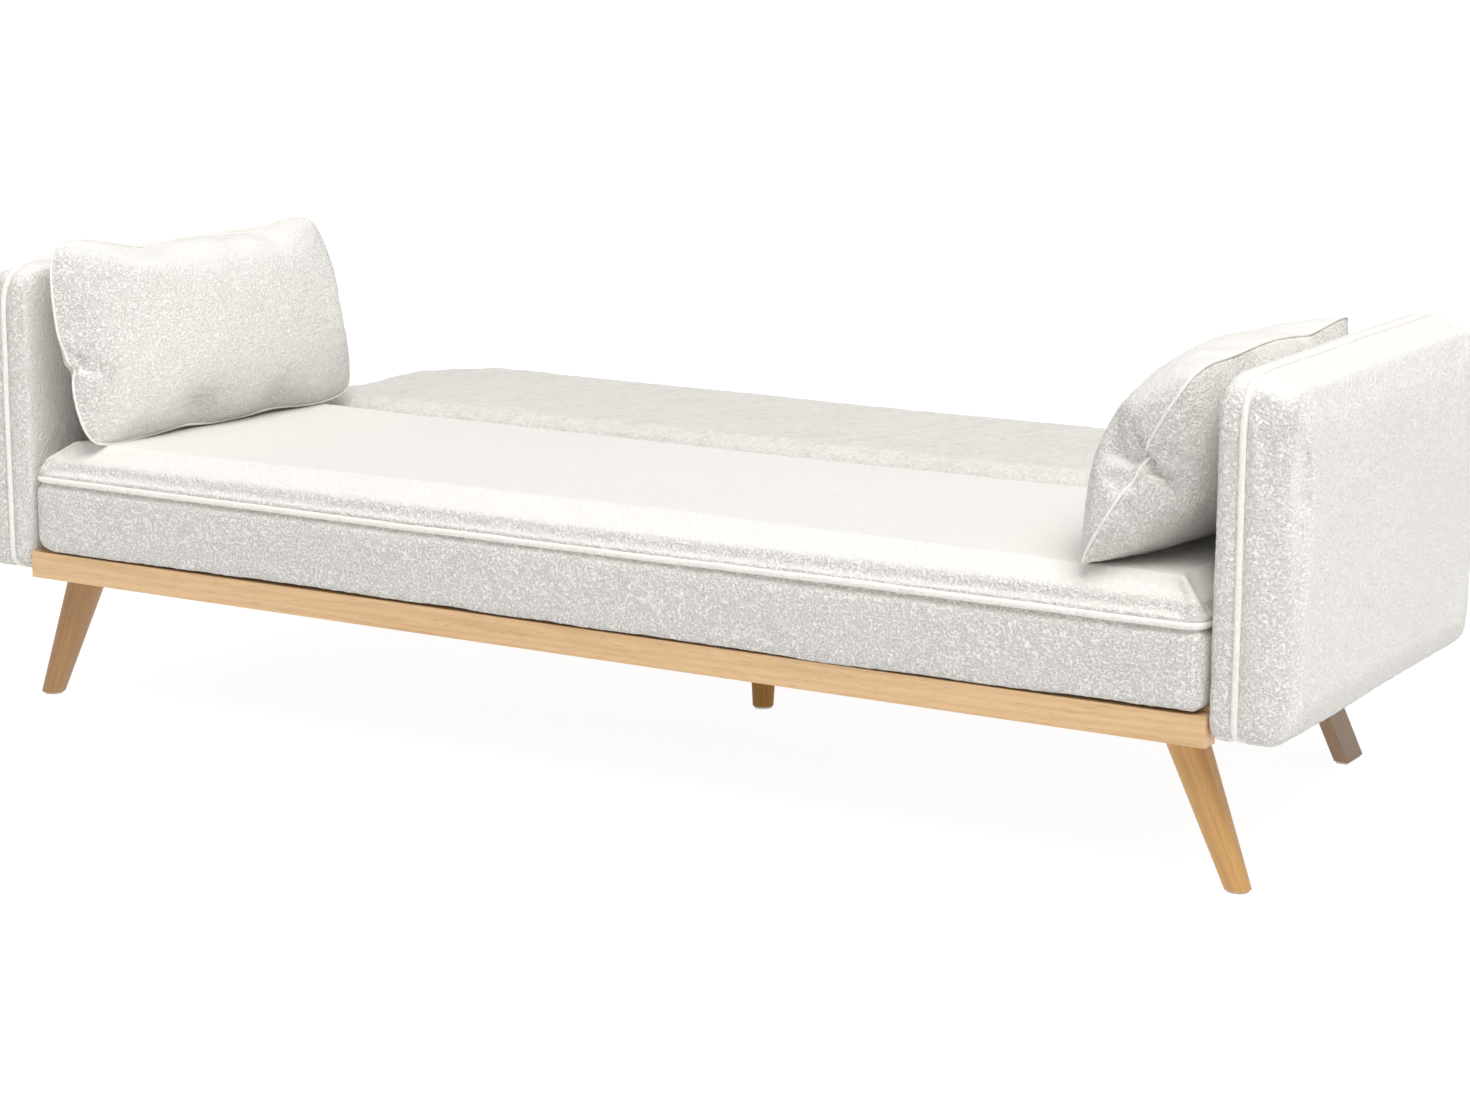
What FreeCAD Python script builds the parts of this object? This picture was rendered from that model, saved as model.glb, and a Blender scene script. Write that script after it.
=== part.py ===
import FreeCAD, Part
import math
import os

# Click-clack daybed, lying flat as a bed.  Millimetres, +Z up, +X along the length, +Y to the back.
# The origin is on the floor, under the middle of the length and of the depth.

# ---- overall sizes ----
rail_length = 1800.0        # clear length between the arms
arm_thickness = 100.0
arm_height = 636.0
arm_depth = 680.0
seat_height = 378.0
leg_height = 186.0          # floor to the underside of the frame
bed_depth = 995.0           # seat front to the far edge of the lowered back
seat_depth = 558.0
pad_overhang = 8.0          # the upholstery stands this far in front of the oak rail

# ---- seat frame ----
rail_height = 37.5
front_rail_thickness = 30.0
front_beam_width = 60.0
side_rail_width = 40.0
rear_rail_width = 112.0
rear_rail_reach = 66.0      # rear rail and side rails run this far behind the seat pad
cross_rail_width = 40.0
cross_rail_count = 3
ledger_width = 18.0
ledger_height = 18.0
ledger_rise = 2.0
arm_rise = 2.0              # arms and spacer blocks stand clear of the frame's underside
slat_width = 70.0
slat_thickness = 8.0
slats_per_bay = 3
slat_clearance = 2.0
dust_cover_thickness = 1.0
dust_cover_hem = 15.0
dust_cover_clearance = 3.0

# ---- upholstery ----
cover_thickness = 2.0
seat_end_gap = 2.0          # seat pad to arm, each end
seat_edge_radius = 18.0
seat_corner_radius = 20.0
arm_corner_radius = 55.0    # the arm's two upper corners, seen from the end
arm_under_radius = 24.0     # its two lower corners
arm_edge_radius = 16.0
arm_board_thickness = 36.0
arm_board_inset = 20.0
arm_board_corner_radius = 35.0
arm_board_under_radius = 8.0
arm_slot_inset = 60.0
arm_slot_width = 60.0

# ---- back ----
back_gap = 4.0              # lowered back to the rear of the seat pad
back_end_gap = 24.0         # back pad to arm, each end
back_thickness = 110.0
back_edge_radius = 25.0
back_under_radius = 12.0
back_far_corner_radius = 165.0
back_near_corner_radius = 26.0
back_frame_thickness = 40.0
back_frame_end_inset = 30.0
back_frame_near_inset = 22.0
back_frame_far_inset = 90.0
back_member_width = 60.0
back_strut_width = 45.0
back_strut_count = 3
webbing_count = 12
webbing_width = 60.0
webbing_thickness = 2.0
lining_thickness = 1.0
lining_inset = 18.0
lining_lap = 10.0
recess_clearance = 2.0

# ---- hinge and ratchet ----
hinge_behind_back_end = 52.0
hinge_below_seat = 30.0
hinge_plate_thickness = 4.0
hinge_plate_gap = 0.6
hinge_pin_radius = 6.0
hinge_pin_clearance = 0.05
hinge_pin_head_radius = 11.0
rivet_head_height = 2.4
ratchet_radius = 30.0
ratchet_notch_depth = 4.0
ratchet_steps = (0.0, 40.0, 72.0, 90.0)
ratchet_half_angles = (9.0, 6.5, 6.5, 7.0)
pawl_angle = -135.0         # where the pawl meets the ratchet, seen from the pivot
pawl_tip_clearance = 0.4
pawl_tooth_width = 4.0
pawl_tooth_height = 5.0
pawl_bar_width = 8.0
pawl_tooth_lap = 1.0        # how far the tooth's root reaches into the bar
pawl_length = 34.0
pawl_hub_radius = 9.0
pawl_pin_radius = 4.0
pawl_pin_clearance = 0.05
spring_wire = 1.5
spring_height = 4.0
hinge_arm_width = 30.0
hinge_arm_start = 30.0      # where the straight arm begins, behind the pivot
hinge_arm_length = 150.0
seat_plate_foot_length = 170.0
seat_plate_foot_height = 30.0
seat_plate_riser = 40.0
seat_plate_hub_radius = 22.0
pawl_web_width = 27.0       # the seat plate's web round the pawl pin and the stop pin
stop_pin_radius = 4.0
stop_pin_behind = 50.0
stop_clearance = 0.3
wood_screw_radius = 3.0
wood_screw_head_radius = 5.5
wood_screw_head_height = 2.0
seat_screw_length = 32.0
back_screw_length = 56.0
hinge_screw_count = 3
hinge_screw_pitch = 35.0

# ---- legs ----
glide_thickness = 3.0
glide_inset = 2.0
front_leg_behind_rail = 62.0
front_leg_top_inset = 52.0  # leg axis inside the end of the rail, at the top
front_leg_splay = 75.0      # how far the foot stands outside the top
front_leg_top_size = 50.0
front_leg_foot_size = 31.0
front_leg_top_round = 17.0
front_leg_foot_round = 12.0
center_leg_top_radius = 25.0
center_leg_foot_radius = 15.0
center_leg_before_pad_end = 20.0
rear_leg_width = 20.0
rear_leg_depth = 56.0
rear_leg_top_inset = 92.0   # leg centre inside the end of the rail, at the top
rear_leg_top_from_rear = 62.0
rear_leg_rake = 145.0       # how far the foot stands behind the top
rear_leg_splay = 15.0
leg_bolt_radius = 4.0
leg_bolt_in_leg = 40.0
leg_bolt_in_rail = 30.0

# ---- arm fixings ----
arm_bolt_radius = 4.0
arm_bolt_clearance = 0.5
arm_bolt_head_radius = 8.0
arm_bolt_head_height = 6.0
arm_bolt_in_board = 24.0
arm_bolt_count = 2
spacer_inset = 40.0         # spacer block to the front beam
spacer_gap = 10.0           # spacer block to the hinge plate
arm_bolt_inset = 40.0       # outer bolts to the ends of the spacer block

# ---- pillows ----
pillow_length = 572.0
pillow_height = 292.0
left_pillow_middle = 160.0  # thickness in the middle
right_pillow_middle = 192.0
pillow_edge = 16.0
pillow_arm_gap = 1.0
pillow_seat_gap = 0.6
pillow_front_gap = 4.0      # behind the front of the seat pad
left_pillow_lean = 14.0
left_pillow_yaw = -5.0
right_pillow_lean = 30.0
right_pillow_yaw = 2.0

# ---- places worked out from the sizes ----
front_y = -bed_depth / 2.0
rail_y = front_y + pad_overhang
seat_rear_y = front_y + seat_depth
frame_rear_y = seat_rear_y + rear_rail_reach
beam_y = rail_y + front_rail_thickness
side_y = beam_y + front_beam_width
rear_rail_y = frame_rear_y - rear_rail_width
rail_top = leg_height + rail_height
arm_inner_x = rail_length / 2.0
arm_outer_x = arm_inner_x + arm_thickness
arm_rear_y = front_y + arm_depth
arm_bottom = leg_height + arm_rise
seat_end_x = arm_inner_x - seat_end_gap
back_end_x = arm_inner_x - back_end_gap
back_near_y = seat_rear_y + back_gap
back_far_y = front_y + bed_depth
back_under = seat_height - back_thickness
pivot_y = back_near_y + hinge_behind_back_end
pivot_z = seat_height - hinge_below_seat
back_plate_x = back_end_x
seat_plate_x = back_plate_x + hinge_plate_thickness + hinge_plate_gap
side_rail_x = seat_plate_x
member_under = back_under + cover_thickness
member_top = member_under + back_frame_thickness
stile_outer_x = back_end_x - back_frame_end_inset
stile_inner_x = stile_outer_x - back_member_width
back_frame_near_y = back_near_y + back_frame_near_inset
back_frame_far_y = back_far_y - back_frame_far_inset
hinge_arm_z = member_under + back_frame_thickness / 2.0
rail_mid_z = leg_height + rail_height / 2.0
spacer_y = side_y + spacer_inset
spacer_end_y = frame_rear_y - seat_plate_foot_length - spacer_gap
pawl_tip_reach = ratchet_radius + pawl_tip_clearance
pawl_bar_reach = pawl_tip_reach + pawl_tooth_height + pawl_bar_width / 2.0 - pawl_tooth_lap
cut_overrun = 1.0           # cutting tools run this far past a face
near = 0.1                  # an edge this close to a plane lies on it

X_AXIS = FreeCAD.Vector(1, 0, 0)
Y_AXIS = FreeCAD.Vector(0, 1, 0)
Z_AXIS = FreeCAD.Vector(0, 0, 1)
ORIGIN = FreeCAD.Vector(0, 0, 0)

pieces = {}


def block(x0, x1, y0, y1, z0, z1):
    """A box between two corners."""
    corner = FreeCAD.Vector(x0, y0, z0)
    return Part.makeBox(x1 - x0, y1 - y0, z1 - z0, corner)


def rod(radius, start, end):
    """A round bar from one point to another."""
    a = FreeCAD.Vector(*start)
    run = FreeCAD.Vector(*end) - a
    return Part.makeCylinder(radius, run.Length, a, run)


def tube(outer, inner, start, end):
    """A round sleeve from one point to another."""
    return rod(outer, start, end).cut(rod(inner, start, end))


def joined(shapes):
    """One solid from shapes that overlap."""
    whole = shapes[0]
    for shape in shapes[1:]:
        whole = whole.fuse(shape)
    return whole.removeSplitter()


def without(shape, tools):
    """The shape with every tool cut away."""
    for tool in tools:
        shape = shape.cut(tool)
    return shape


def along(edge, axis):
    """Whether a straight edge runs along an axis."""
    if not isinstance(edge.Curve, Part.Line):
        return False
    return abs(edge.Curve.Direction.dot(axis)) > 0.999


def edges_at(shape, test):
    """The edges whose middle point and edge pass the test."""
    return [edge for edge in shape.Edges if test(edge, edge.CenterOfMass)]


def mirrored(shape):
    """The same piece on the other end of the daybed."""
    return shape.mirror(ORIGIN, X_AXIS)


def add(name, shapes):
    """Keep a piece, or a group of identical pieces, under its name."""
    if isinstance(shapes, list):
        pieces[name] = Part.makeCompound(shapes)
    else:
        pieces[name] = shapes


def add_pair(name, right):
    """Keep a right-hand piece and its mirrored left-hand partner."""
    add(name + "_right", right)
    add(name + "_left", mirrored(right))


def both_ends(shapes):
    """Each shape and its mirror image."""
    return shapes + [mirrored(shape) for shape in shapes]


def spaced(first, last, count):
    """Evenly spaced centres, from first to last."""
    step = (last - first) / (count - 1)
    return [first + step * i for i in range(count)]


# ---- seat frame: oak rail in front, softwood frame behind it, slats on ledgers ----
def bay_edges():
    """The clear spans between the side rails and the cross rails."""
    inner = side_rail_x - side_rail_width
    step = 2.0 * inner / (cross_rail_count + 1)
    centres = [-inner + step * (i + 1) for i in range(cross_rail_count)]
    starts = [-inner] + [c + cross_rail_width / 2.0 for c in centres]
    ends = [c - cross_rail_width / 2.0 for c in centres] + [inner]
    return centres, list(zip(starts, ends))


def front_leg_spot():
    """Centre of a right front leg's top, seen from above."""
    return arm_inner_x - front_leg_top_inset, rail_y + front_leg_behind_rail


def rear_leg_spot():
    """Centre of a right rear leg's top, seen from above."""
    return arm_inner_x - rear_leg_top_inset, frame_rear_y - rear_leg_top_from_rear


def center_leg_spot():
    """Centre of the middle leg, seen from above."""
    return 0.0, seat_rear_y - center_leg_before_pad_end


def leg_bolt(spot):
    """A hanger bolt that stands in a leg and goes up into the frame."""
    x, y = spot
    low = leg_height - leg_bolt_in_leg
    return rod(leg_bolt_radius, (x, y, low), (x, y, leg_height + leg_bolt_in_rail))


def arm_bolt_line(y, reach):
    """A straight bar on an arm bolt's axis, to cut its holes."""
    inner = side_rail_x - side_rail_width
    end = arm_inner_x + reach
    start = (inner - cut_overrun, y, rail_mid_z)
    return rod(arm_bolt_radius + arm_bolt_clearance, start, (end, y, rail_mid_z))


def arm_bolt_places():
    """Where the arm bolts stand along the side rail."""
    return spaced(spacer_y + arm_bolt_inset, spacer_end_y - arm_bolt_inset, arm_bolt_count)


def seat_screw_places():
    """Where the hinge screws stand along the side rail."""
    last = frame_rear_y - seat_plate_foot_height / 2.0
    return [last - hinge_screw_pitch * i for i in range(hinge_screw_count)]


def wood_screw(x, y, z, length):
    """A wood screw along X: its head lies on the face at x and its shank points inwards."""
    head = rod(wood_screw_head_radius, (x, y, z), (x + wood_screw_head_height, y, z))
    return joined([head, shank(x, y, z, length)])


def shank(x, y, z, length):
    """A wood screw's shank, which also cuts its hole."""
    return rod(wood_screw_radius, (x - length, y, z), (x, y, z))


def seat_shanks():
    """The shanks of one seat plate's screws."""
    face = seat_plate_x + hinge_plate_thickness
    return [shank(face, y, rail_mid_z, seat_screw_length) for y in seat_screw_places()]


def make_seat_frame():
    """The rails, slats and ledgers under the seat."""
    inner = side_rail_x - side_rail_width
    centres, bays = bay_edges()
    add("front_rail", block(-arm_inner_x, arm_inner_x, rail_y, beam_y, leg_height, rail_top))
    beam = block(-side_rail_x, side_rail_x, beam_y, side_y, leg_height, rail_top)
    bolts = both_ends([leg_bolt(front_leg_spot())])
    add("front_beam", without(beam, bolts))
    side = block(inner, side_rail_x, side_y, frame_rear_y, leg_height, rail_top)
    holes = [arm_bolt_line(y, 0) for y in arm_bolt_places()]
    holes += seat_shanks()
    add_pair("side_rail", without(side, holes))
    rear = block(-inner, inner, rear_rail_y, frame_rear_y, leg_height, rail_top)
    rear_bolts = both_ends([leg_bolt(rear_leg_spot())]) + [leg_bolt(center_leg_spot())]
    add("rear_rail", without(rear, rear_bolts))
    names = ["cross_rail_%d" % (i + 1) for i in range(cross_rail_count)]
    for name, x in zip(names, centres):
        half = cross_rail_width / 2.0
        add(name, block(x - half, x + half, side_y, rear_rail_y, leg_height, rail_top))
    ledger_z = leg_height + ledger_rise
    slat_z = ledger_z + ledger_height
    ledgers = []
    slats = []
    for start, end in bays:
        ledgers.append(block(start, end, side_y, side_y + ledger_width, ledger_z, slat_z))
        ledgers.append(block(start, end, rear_rail_y - ledger_width, rear_rail_y, ledger_z, slat_z))
        margin = (end - start) / (2.0 * slats_per_bay)
        for x in spaced(start + margin, end - margin, slats_per_bay):
            low_y = side_y + slat_clearance
            high_y = rear_rail_y - slat_clearance
            half = slat_width / 2.0
            slats.append(block(x - half, x + half, low_y, high_y, slat_z, slat_z + slat_thickness))
    add("slat_ledgers", ledgers)
    add("seat_slats", slats)


def make_dust_cover():
    """The thin cloth stapled under the frame, cut short of every leg."""
    inner = side_rail_x - side_rail_width
    low_z = leg_height - dust_cover_thickness
    x = inner + dust_cover_hem
    y0 = side_y - dust_cover_hem
    y1 = rear_rail_y + dust_cover_hem
    leg_x, leg_y = center_leg_spot()
    leg_hole = center_leg_top_radius + dust_cover_clearance
    cut_low = low_z - cut_overrun
    cut_high = leg_height + cut_overrun
    cuts = [rod(leg_hole, (leg_x, leg_y, cut_low), (leg_x, leg_y, cut_high))]
    leg_x, leg_y = front_leg_spot()
    reach = front_leg_top_size / 2.0 + dust_cover_clearance
    notch = block(leg_x - reach, x + cut_overrun, y0 - cut_overrun, leg_y + reach, cut_low, cut_high)
    cuts += both_ends([notch])
    add("dust_cover", without(block(-x, x, y0, y1, low_z, leg_height), cuts))


# ---- legs ----
def rounded_square(size_x, size_y, radius, centre):
    """A closed wire: a rectangle with round corners, level, about a centre."""
    cx, cy, z = centre
    hx = size_x / 2.0
    hy = size_y / 2.0
    diag = radius * (1.0 - math.sqrt(0.5))
    corners = [(1, 1), (-1, 1), (-1, -1), (1, -1)]
    edges = []
    points = []
    for sx, sy in corners:
        on_x = FreeCAD.Vector(cx + sx * (hx - radius), cy + sy * hy, z)
        on_y = FreeCAD.Vector(cx + sx * hx, cy + sy * (hy - radius), z)
        mid = FreeCAD.Vector(cx + sx * (hx - diag), cy + sy * (hy - diag), z)
        first, last = (on_y, on_x) if sx * sy > 0 else (on_x, on_y)
        points.append((first, mid, last))
    for i, (first, mid, last) in enumerate(points):
        edges.append(Part.Arc(first, mid, last).toShape())
        edges.append(Part.LineSegment(last, points[(i + 1) % 4][0]).toShape())
    return Part.Wire(edges)


def rectangle(size_x, size_y, centre):
    """A closed wire: a level rectangle about a centre."""
    cx, cy, z = centre
    hx = size_x / 2.0
    hy = size_y / 2.0
    corners = [(-hx, -hy), (hx, -hy), (hx, hy), (-hx, hy), (-hx, -hy)]
    return Part.makePolygon([FreeCAD.Vector(cx + x, cy + y, z) for x, y in corners])


def share_at(z):
    """How far down a leg a height is: 0 at the frame, 1 at the glide."""
    return (leg_height - z) / (leg_height - glide_thickness)


def make_legs():
    """Two splayed oak front legs, two raked rear legs and a middle leg, with glides and bolts."""
    x, y = front_leg_spot()
    foot = (x + front_leg_splay, y, glide_thickness)
    top_wire = rounded_square(front_leg_top_size, front_leg_top_size, front_leg_top_round, (x, y, leg_height))
    foot_wire = rounded_square(front_leg_foot_size, front_leg_foot_size, front_leg_foot_round, foot)
    leg = Part.makeLoft([foot_wire, top_wire], True, True)
    add_pair("front_leg", leg.cut(leg_bolt((x, y))))
    front_glide_size = front_leg_foot_size / 2.0 - glide_inset
    glides = both_ends([rod(front_glide_size, (foot[0], foot[1], 0), foot)])

    x, y = rear_leg_spot()
    foot = (x + rear_leg_splay, y + rear_leg_rake, glide_thickness)
    wires = [rectangle(rear_leg_width, rear_leg_depth, foot)]
    wires.append(rectangle(rear_leg_width, rear_leg_depth, (x, y, leg_height)))
    leg = Part.makeLoft(wires, True, True)
    add_pair("rear_leg", leg.cut(leg_bolt((x, y))))
    half_x = rear_leg_width / 2.0 - glide_inset
    half_y = rear_leg_depth / 2.0 - glide_inset
    fx, fy, fz = foot
    glides += both_ends([block(fx - half_x, fx + half_x, fy - half_y, fy + half_y, 0, fz)])

    x, y = center_leg_spot()
    length = leg_height - glide_thickness
    base = FreeCAD.Vector(x, y, glide_thickness)
    leg = Part.makeCone(center_leg_foot_radius, center_leg_top_radius, length, base, Z_AXIS)
    add("center_leg", leg.cut(leg_bolt((x, y))))
    glides.append(rod(center_leg_foot_radius - glide_inset, (x, y, 0), (x, y, glide_thickness)))
    add("floor_glides", glides)
    bolts = both_ends([leg_bolt(front_leg_spot()), leg_bolt(rear_leg_spot())])
    add("leg_bolts", bolts + [leg_bolt(center_leg_spot())])


# ---- seat pad ----
def seat_block(inset):
    """The seat pad's outer shape, or its inside when inset by the cover, open at the bottom."""
    x = seat_end_x - inset
    body = block(-x, x, front_y + inset, seat_rear_y - inset, rail_top, seat_height - inset)
    body = body.makeFillet(seat_corner_radius - inset, edges_at(body, lambda e, c: along(e, Z_AXIS)))
    top = edges_at(body, lambda e, c: c.z > seat_height - inset - near)
    return body.makeFillet(seat_edge_radius - inset, top)


def make_seat_pad():
    """The foam block and the cloth cover over it."""
    foam = seat_block(cover_thickness)
    add("seat_foam", foam)
    add("seat_cover", seat_block(0.0).cut(foam))


# ---- arms ----
def arm_outline(inset, x0, x1, corner_radius, under_radius):
    """A slab with the arm's outline, inset from its edge, with round corners seen from the end."""
    body = block(x0, x1, front_y + inset, arm_rear_y - inset, arm_bottom + inset, arm_height - inset)
    middle = (arm_bottom + arm_height) / 2.0
    upper = edges_at(body, lambda e, c: along(e, X_AXIS) and c.z > middle)
    body = body.makeFillet(corner_radius, upper)
    lower = edges_at(body, lambda e, c: along(e, X_AXIS) and c.z < arm_bottom + inset + near)
    return body.makeFillet(under_radius, lower)


def arm_pad(inset):
    """The arm's padded outer shape, or its inside when inset by the cover."""
    x0 = arm_inner_x + inset
    x1 = arm_outer_x - inset
    body = arm_outline(inset, x0, x1, arm_corner_radius - inset, arm_under_radius - inset)
    rims = edges_at(body, lambda e, c: min(abs(c.x - x0), abs(c.x - x1)) < near)
    return body.makeFillet(arm_edge_radius - inset, rims)


def arm_board_solid():
    """The timber panel in the middle of the arm, level with the foam at the bottom."""
    middle = arm_inner_x + arm_thickness / 2.0
    x0 = middle - arm_board_thickness / 2.0
    x1 = middle + arm_board_thickness / 2.0
    low = arm_bottom + cover_thickness
    y0 = front_y + arm_slot_inset
    y1 = arm_rear_y - arm_slot_inset
    foot = block(x0, x1, y0, y1, low, arm_height / 2.0)
    board = arm_outline(arm_board_inset, x0, x1, arm_board_corner_radius, arm_board_under_radius)
    return joined([board, foot])


def make_arms():
    """Panel, foam, cover, spacer block and bolts of both arms."""
    board = arm_board_solid()
    inner = arm_pad(cover_thickness)
    middle = arm_inner_x + arm_thickness / 2.0
    half = arm_slot_width / 2.0
    slot_y0 = front_y + arm_slot_inset
    slot_y1 = arm_rear_y - arm_slot_inset
    slot = block(middle - half, middle + half, slot_y0, slot_y1, arm_bottom, arm_bottom + cover_thickness)
    reach = middle - arm_board_thickness / 2.0 - arm_inner_x + arm_bolt_in_board
    lines = [arm_bolt_line(y, reach) for y in arm_bolt_places()]
    add_pair("arm_panel", without(board, lines))
    add_pair("arm_foam", without(inner.cut(board), lines))
    add_pair("arm_cover", without(arm_pad(0.0), [inner, slot] + lines))
    spacer_high = rail_top - ledger_rise
    spacer = block(side_rail_x, arm_inner_x, spacer_y, spacer_end_y, arm_bottom, spacer_high)
    add_pair("arm_spacer", without(spacer, lines))
    bolts = []
    face = side_rail_x - side_rail_width
    for y in arm_bolt_places():
        stem = rod(arm_bolt_radius, (face, y, rail_mid_z), (arm_inner_x + reach, y, rail_mid_z))
        head_start = (face - arm_bolt_head_height, y, rail_mid_z)
        head = rod(arm_bolt_head_radius, head_start, (face, y, rail_mid_z))
        bolts.append(joined([head, stem]))
    add("arm_bolts", both_ends(bolts))


# ---- back ----
def back_block(inset):
    """The back pad's outer shape, or its inside when inset by the cover."""
    x = back_end_x - inset
    y0 = back_near_y + inset
    y1 = back_far_y - inset
    low = back_under + inset
    top = seat_height - inset
    body = block(-x, x, y0, y1, low, top)
    far = edges_at(body, lambda e, c: along(e, Z_AXIS) and c.y > y1 - near)
    body = body.makeFillet(back_far_corner_radius - inset, far)
    close = edges_at(body, lambda e, c: along(e, Z_AXIS) and c.y < y0 + near)
    body = body.makeFillet(back_near_corner_radius - inset, close)
    body = body.makeFillet(back_edge_radius - inset, edges_at(body, lambda e, c: c.z > top - near))
    return body.makeFillet(back_under_radius - inset, edges_at(body, lambda e, c: c.z < low + near))


def back_sheet(inset, z0, z1):
    """A flat sheet with the back's outline, inset from its edge."""
    x = back_end_x - inset
    body = block(-x, x, back_near_y + inset, back_far_y - inset, z0, z1)
    far = edges_at(body, lambda e, c: along(e, Z_AXIS) and c.y > back_far_y - inset - near)
    return body.makeFillet(back_far_corner_radius - inset, far)


def make_back():
    """Timber frame, webbing, foam, cover and lining of the back."""
    near0 = back_frame_near_y
    near1 = near0 + back_member_width
    far1 = back_frame_far_y
    far0 = far1 - back_member_width
    add("back_bottom_rail", block(-stile_inner_x, stile_inner_x, near0, near1, member_under, member_top))
    add("back_top_rail", block(-stile_inner_x, stile_inner_x, far0, far1, member_under, member_top))
    stile = block(stile_inner_x, stile_outer_x, near0, far1, member_under, member_top)
    shanks = back_shanks()
    add_pair("back_stile", without(stile, shanks))
    struts = []
    step = 2.0 * stile_inner_x / (back_strut_count + 1)
    for i in range(back_strut_count):
        x = -stile_inner_x + step * (i + 1)
        half = back_strut_width / 2.0
        struts.append(block(x - half, x + half, near1, far0, member_under, member_top))
    add("back_struts", struts)
    straps = []
    margin = stile_inner_x / webbing_count
    for x in spaced(-stile_inner_x + margin, stile_inner_x - margin, webbing_count):
        half = webbing_width / 2.0
        straps.append(block(x - half, x + half, near0, far1, member_top, member_top + webbing_thickness))
    add("back_webbing", straps)
    inside = back_block(cover_thickness)
    recess = block(-stile_outer_x - recess_clearance, stile_outer_x + recess_clearance,
                   near0 - recess_clearance, far1 + recess_clearance,
                   member_under - cut_overrun, member_top + webbing_thickness)
    shanks = both_ends(shanks)
    add("back_foam", without(inside, [recess] + shanks))
    opening = back_sheet(lining_inset, back_under - cut_overrun, back_under + cover_thickness)
    add("back_cover", without(back_block(0.0), [inside, opening] + shanks))
    lining_low = back_under - lining_thickness
    add("back_lining", back_sheet(lining_inset - lining_lap, lining_low, back_under))


# ---- hinges: a plate on the seat frame, a toothed plate on the back, a sprung pawl between ----
def back_screw_places():
    """Where the hinge screws stand along the back's stile."""
    last = pivot_y + hinge_arm_start + hinge_arm_length - hinge_arm_width / 2.0
    return [last - hinge_screw_pitch * i for i in range(hinge_screw_count)]


def back_shanks():
    """The shanks of one back plate's screws."""
    face = back_plate_x + hinge_plate_thickness
    return [shank(face, y, hinge_arm_z, back_screw_length) for y in back_screw_places()]


def around_pivot(angle, radius):
    """A point about the pivot, as y and z."""
    turn = math.radians(angle)
    return pivot_y + radius * math.cos(turn), pivot_z + radius * math.sin(turn)


def pawl_pin_spot():
    """The pawl's own pivot, as y and z."""
    turn = math.radians(pawl_angle)
    y, z = around_pivot(pawl_angle, pawl_bar_reach)
    return y - pawl_length * math.sin(turn), z + pawl_length * math.cos(turn)


def plate_bar(x0, x1, start, end, width):
    """A flat bar between two points of the hinge's plane."""
    run_y = end[0] - start[0]
    run_z = end[1] - start[1]
    length = math.hypot(run_y, run_z)
    bar = block(x0, x1, 0.0, length, -width / 2.0, width / 2.0)
    bar.rotate(ORIGIN, X_AXIS, math.degrees(math.atan2(run_z, run_y)))
    bar.translate(FreeCAD.Vector(0, start[0], start[1]))
    return bar


def ratchet_notches(x0, x1):
    """The gaps cut in the ratchet's rim, one for each place where the pawl can drop."""
    cuts = []
    floor = ratchet_radius - ratchet_notch_depth
    beyond = ratchet_radius + cut_overrun
    for step, half_angle in zip(ratchet_steps, ratchet_half_angles):
        width = 2.0 * ratchet_radius * math.sin(math.radians(half_angle))
        angle = pawl_angle - step
        cuts.append(plate_bar(x0, x1, around_pivot(angle, floor), around_pivot(angle, beyond), width))
    return cuts


def make_back_plate():
    """The back's hinge plate: toothed hub, cranked neck and the arm that is screwed to the stile."""
    x0 = back_plate_x
    x1 = x0 + hinge_plate_thickness
    arm_start = (pivot_y + hinge_arm_start, hinge_arm_z)
    arm_end = (arm_start[0] + hinge_arm_length, hinge_arm_z)
    hub = rod(ratchet_radius, (x0, pivot_y, pivot_z), (x1, pivot_y, pivot_z))
    neck = plate_bar(x0, x1, (pivot_y, pivot_z), arm_start, hinge_arm_width)
    elbow = rod(hinge_arm_width / 2.0, (x0,) + arm_start, (x1,) + arm_start)
    arm = plate_bar(x0, x1, arm_start, arm_end, hinge_arm_width)
    plate = joined([hub, neck, elbow, arm])
    pin_hole = hinge_pin_radius + hinge_pin_clearance
    cut_x0 = x0 - cut_overrun
    cut_x1 = x1 + cut_overrun
    cuts = [rod(pin_hole, (cut_x0, pivot_y, pivot_z), (cut_x1, pivot_y, pivot_z))]
    cuts += ratchet_notches(cut_x0, cut_x1)
    cuts += back_shanks()
    add_pair("hinge_back_plate", without(plate, cuts))
    screws = [wood_screw(x1, y, hinge_arm_z, back_screw_length) for y in back_screw_places()]
    add("hinge_back_screws", both_ends(screws))


def stop_pin_spot():
    """The pin that the lowered back's hinge arm rests on, as y and z."""
    under = hinge_arm_z - hinge_arm_width / 2.0
    return pivot_y + stop_pin_behind, under - stop_clearance - stop_pin_radius


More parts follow.
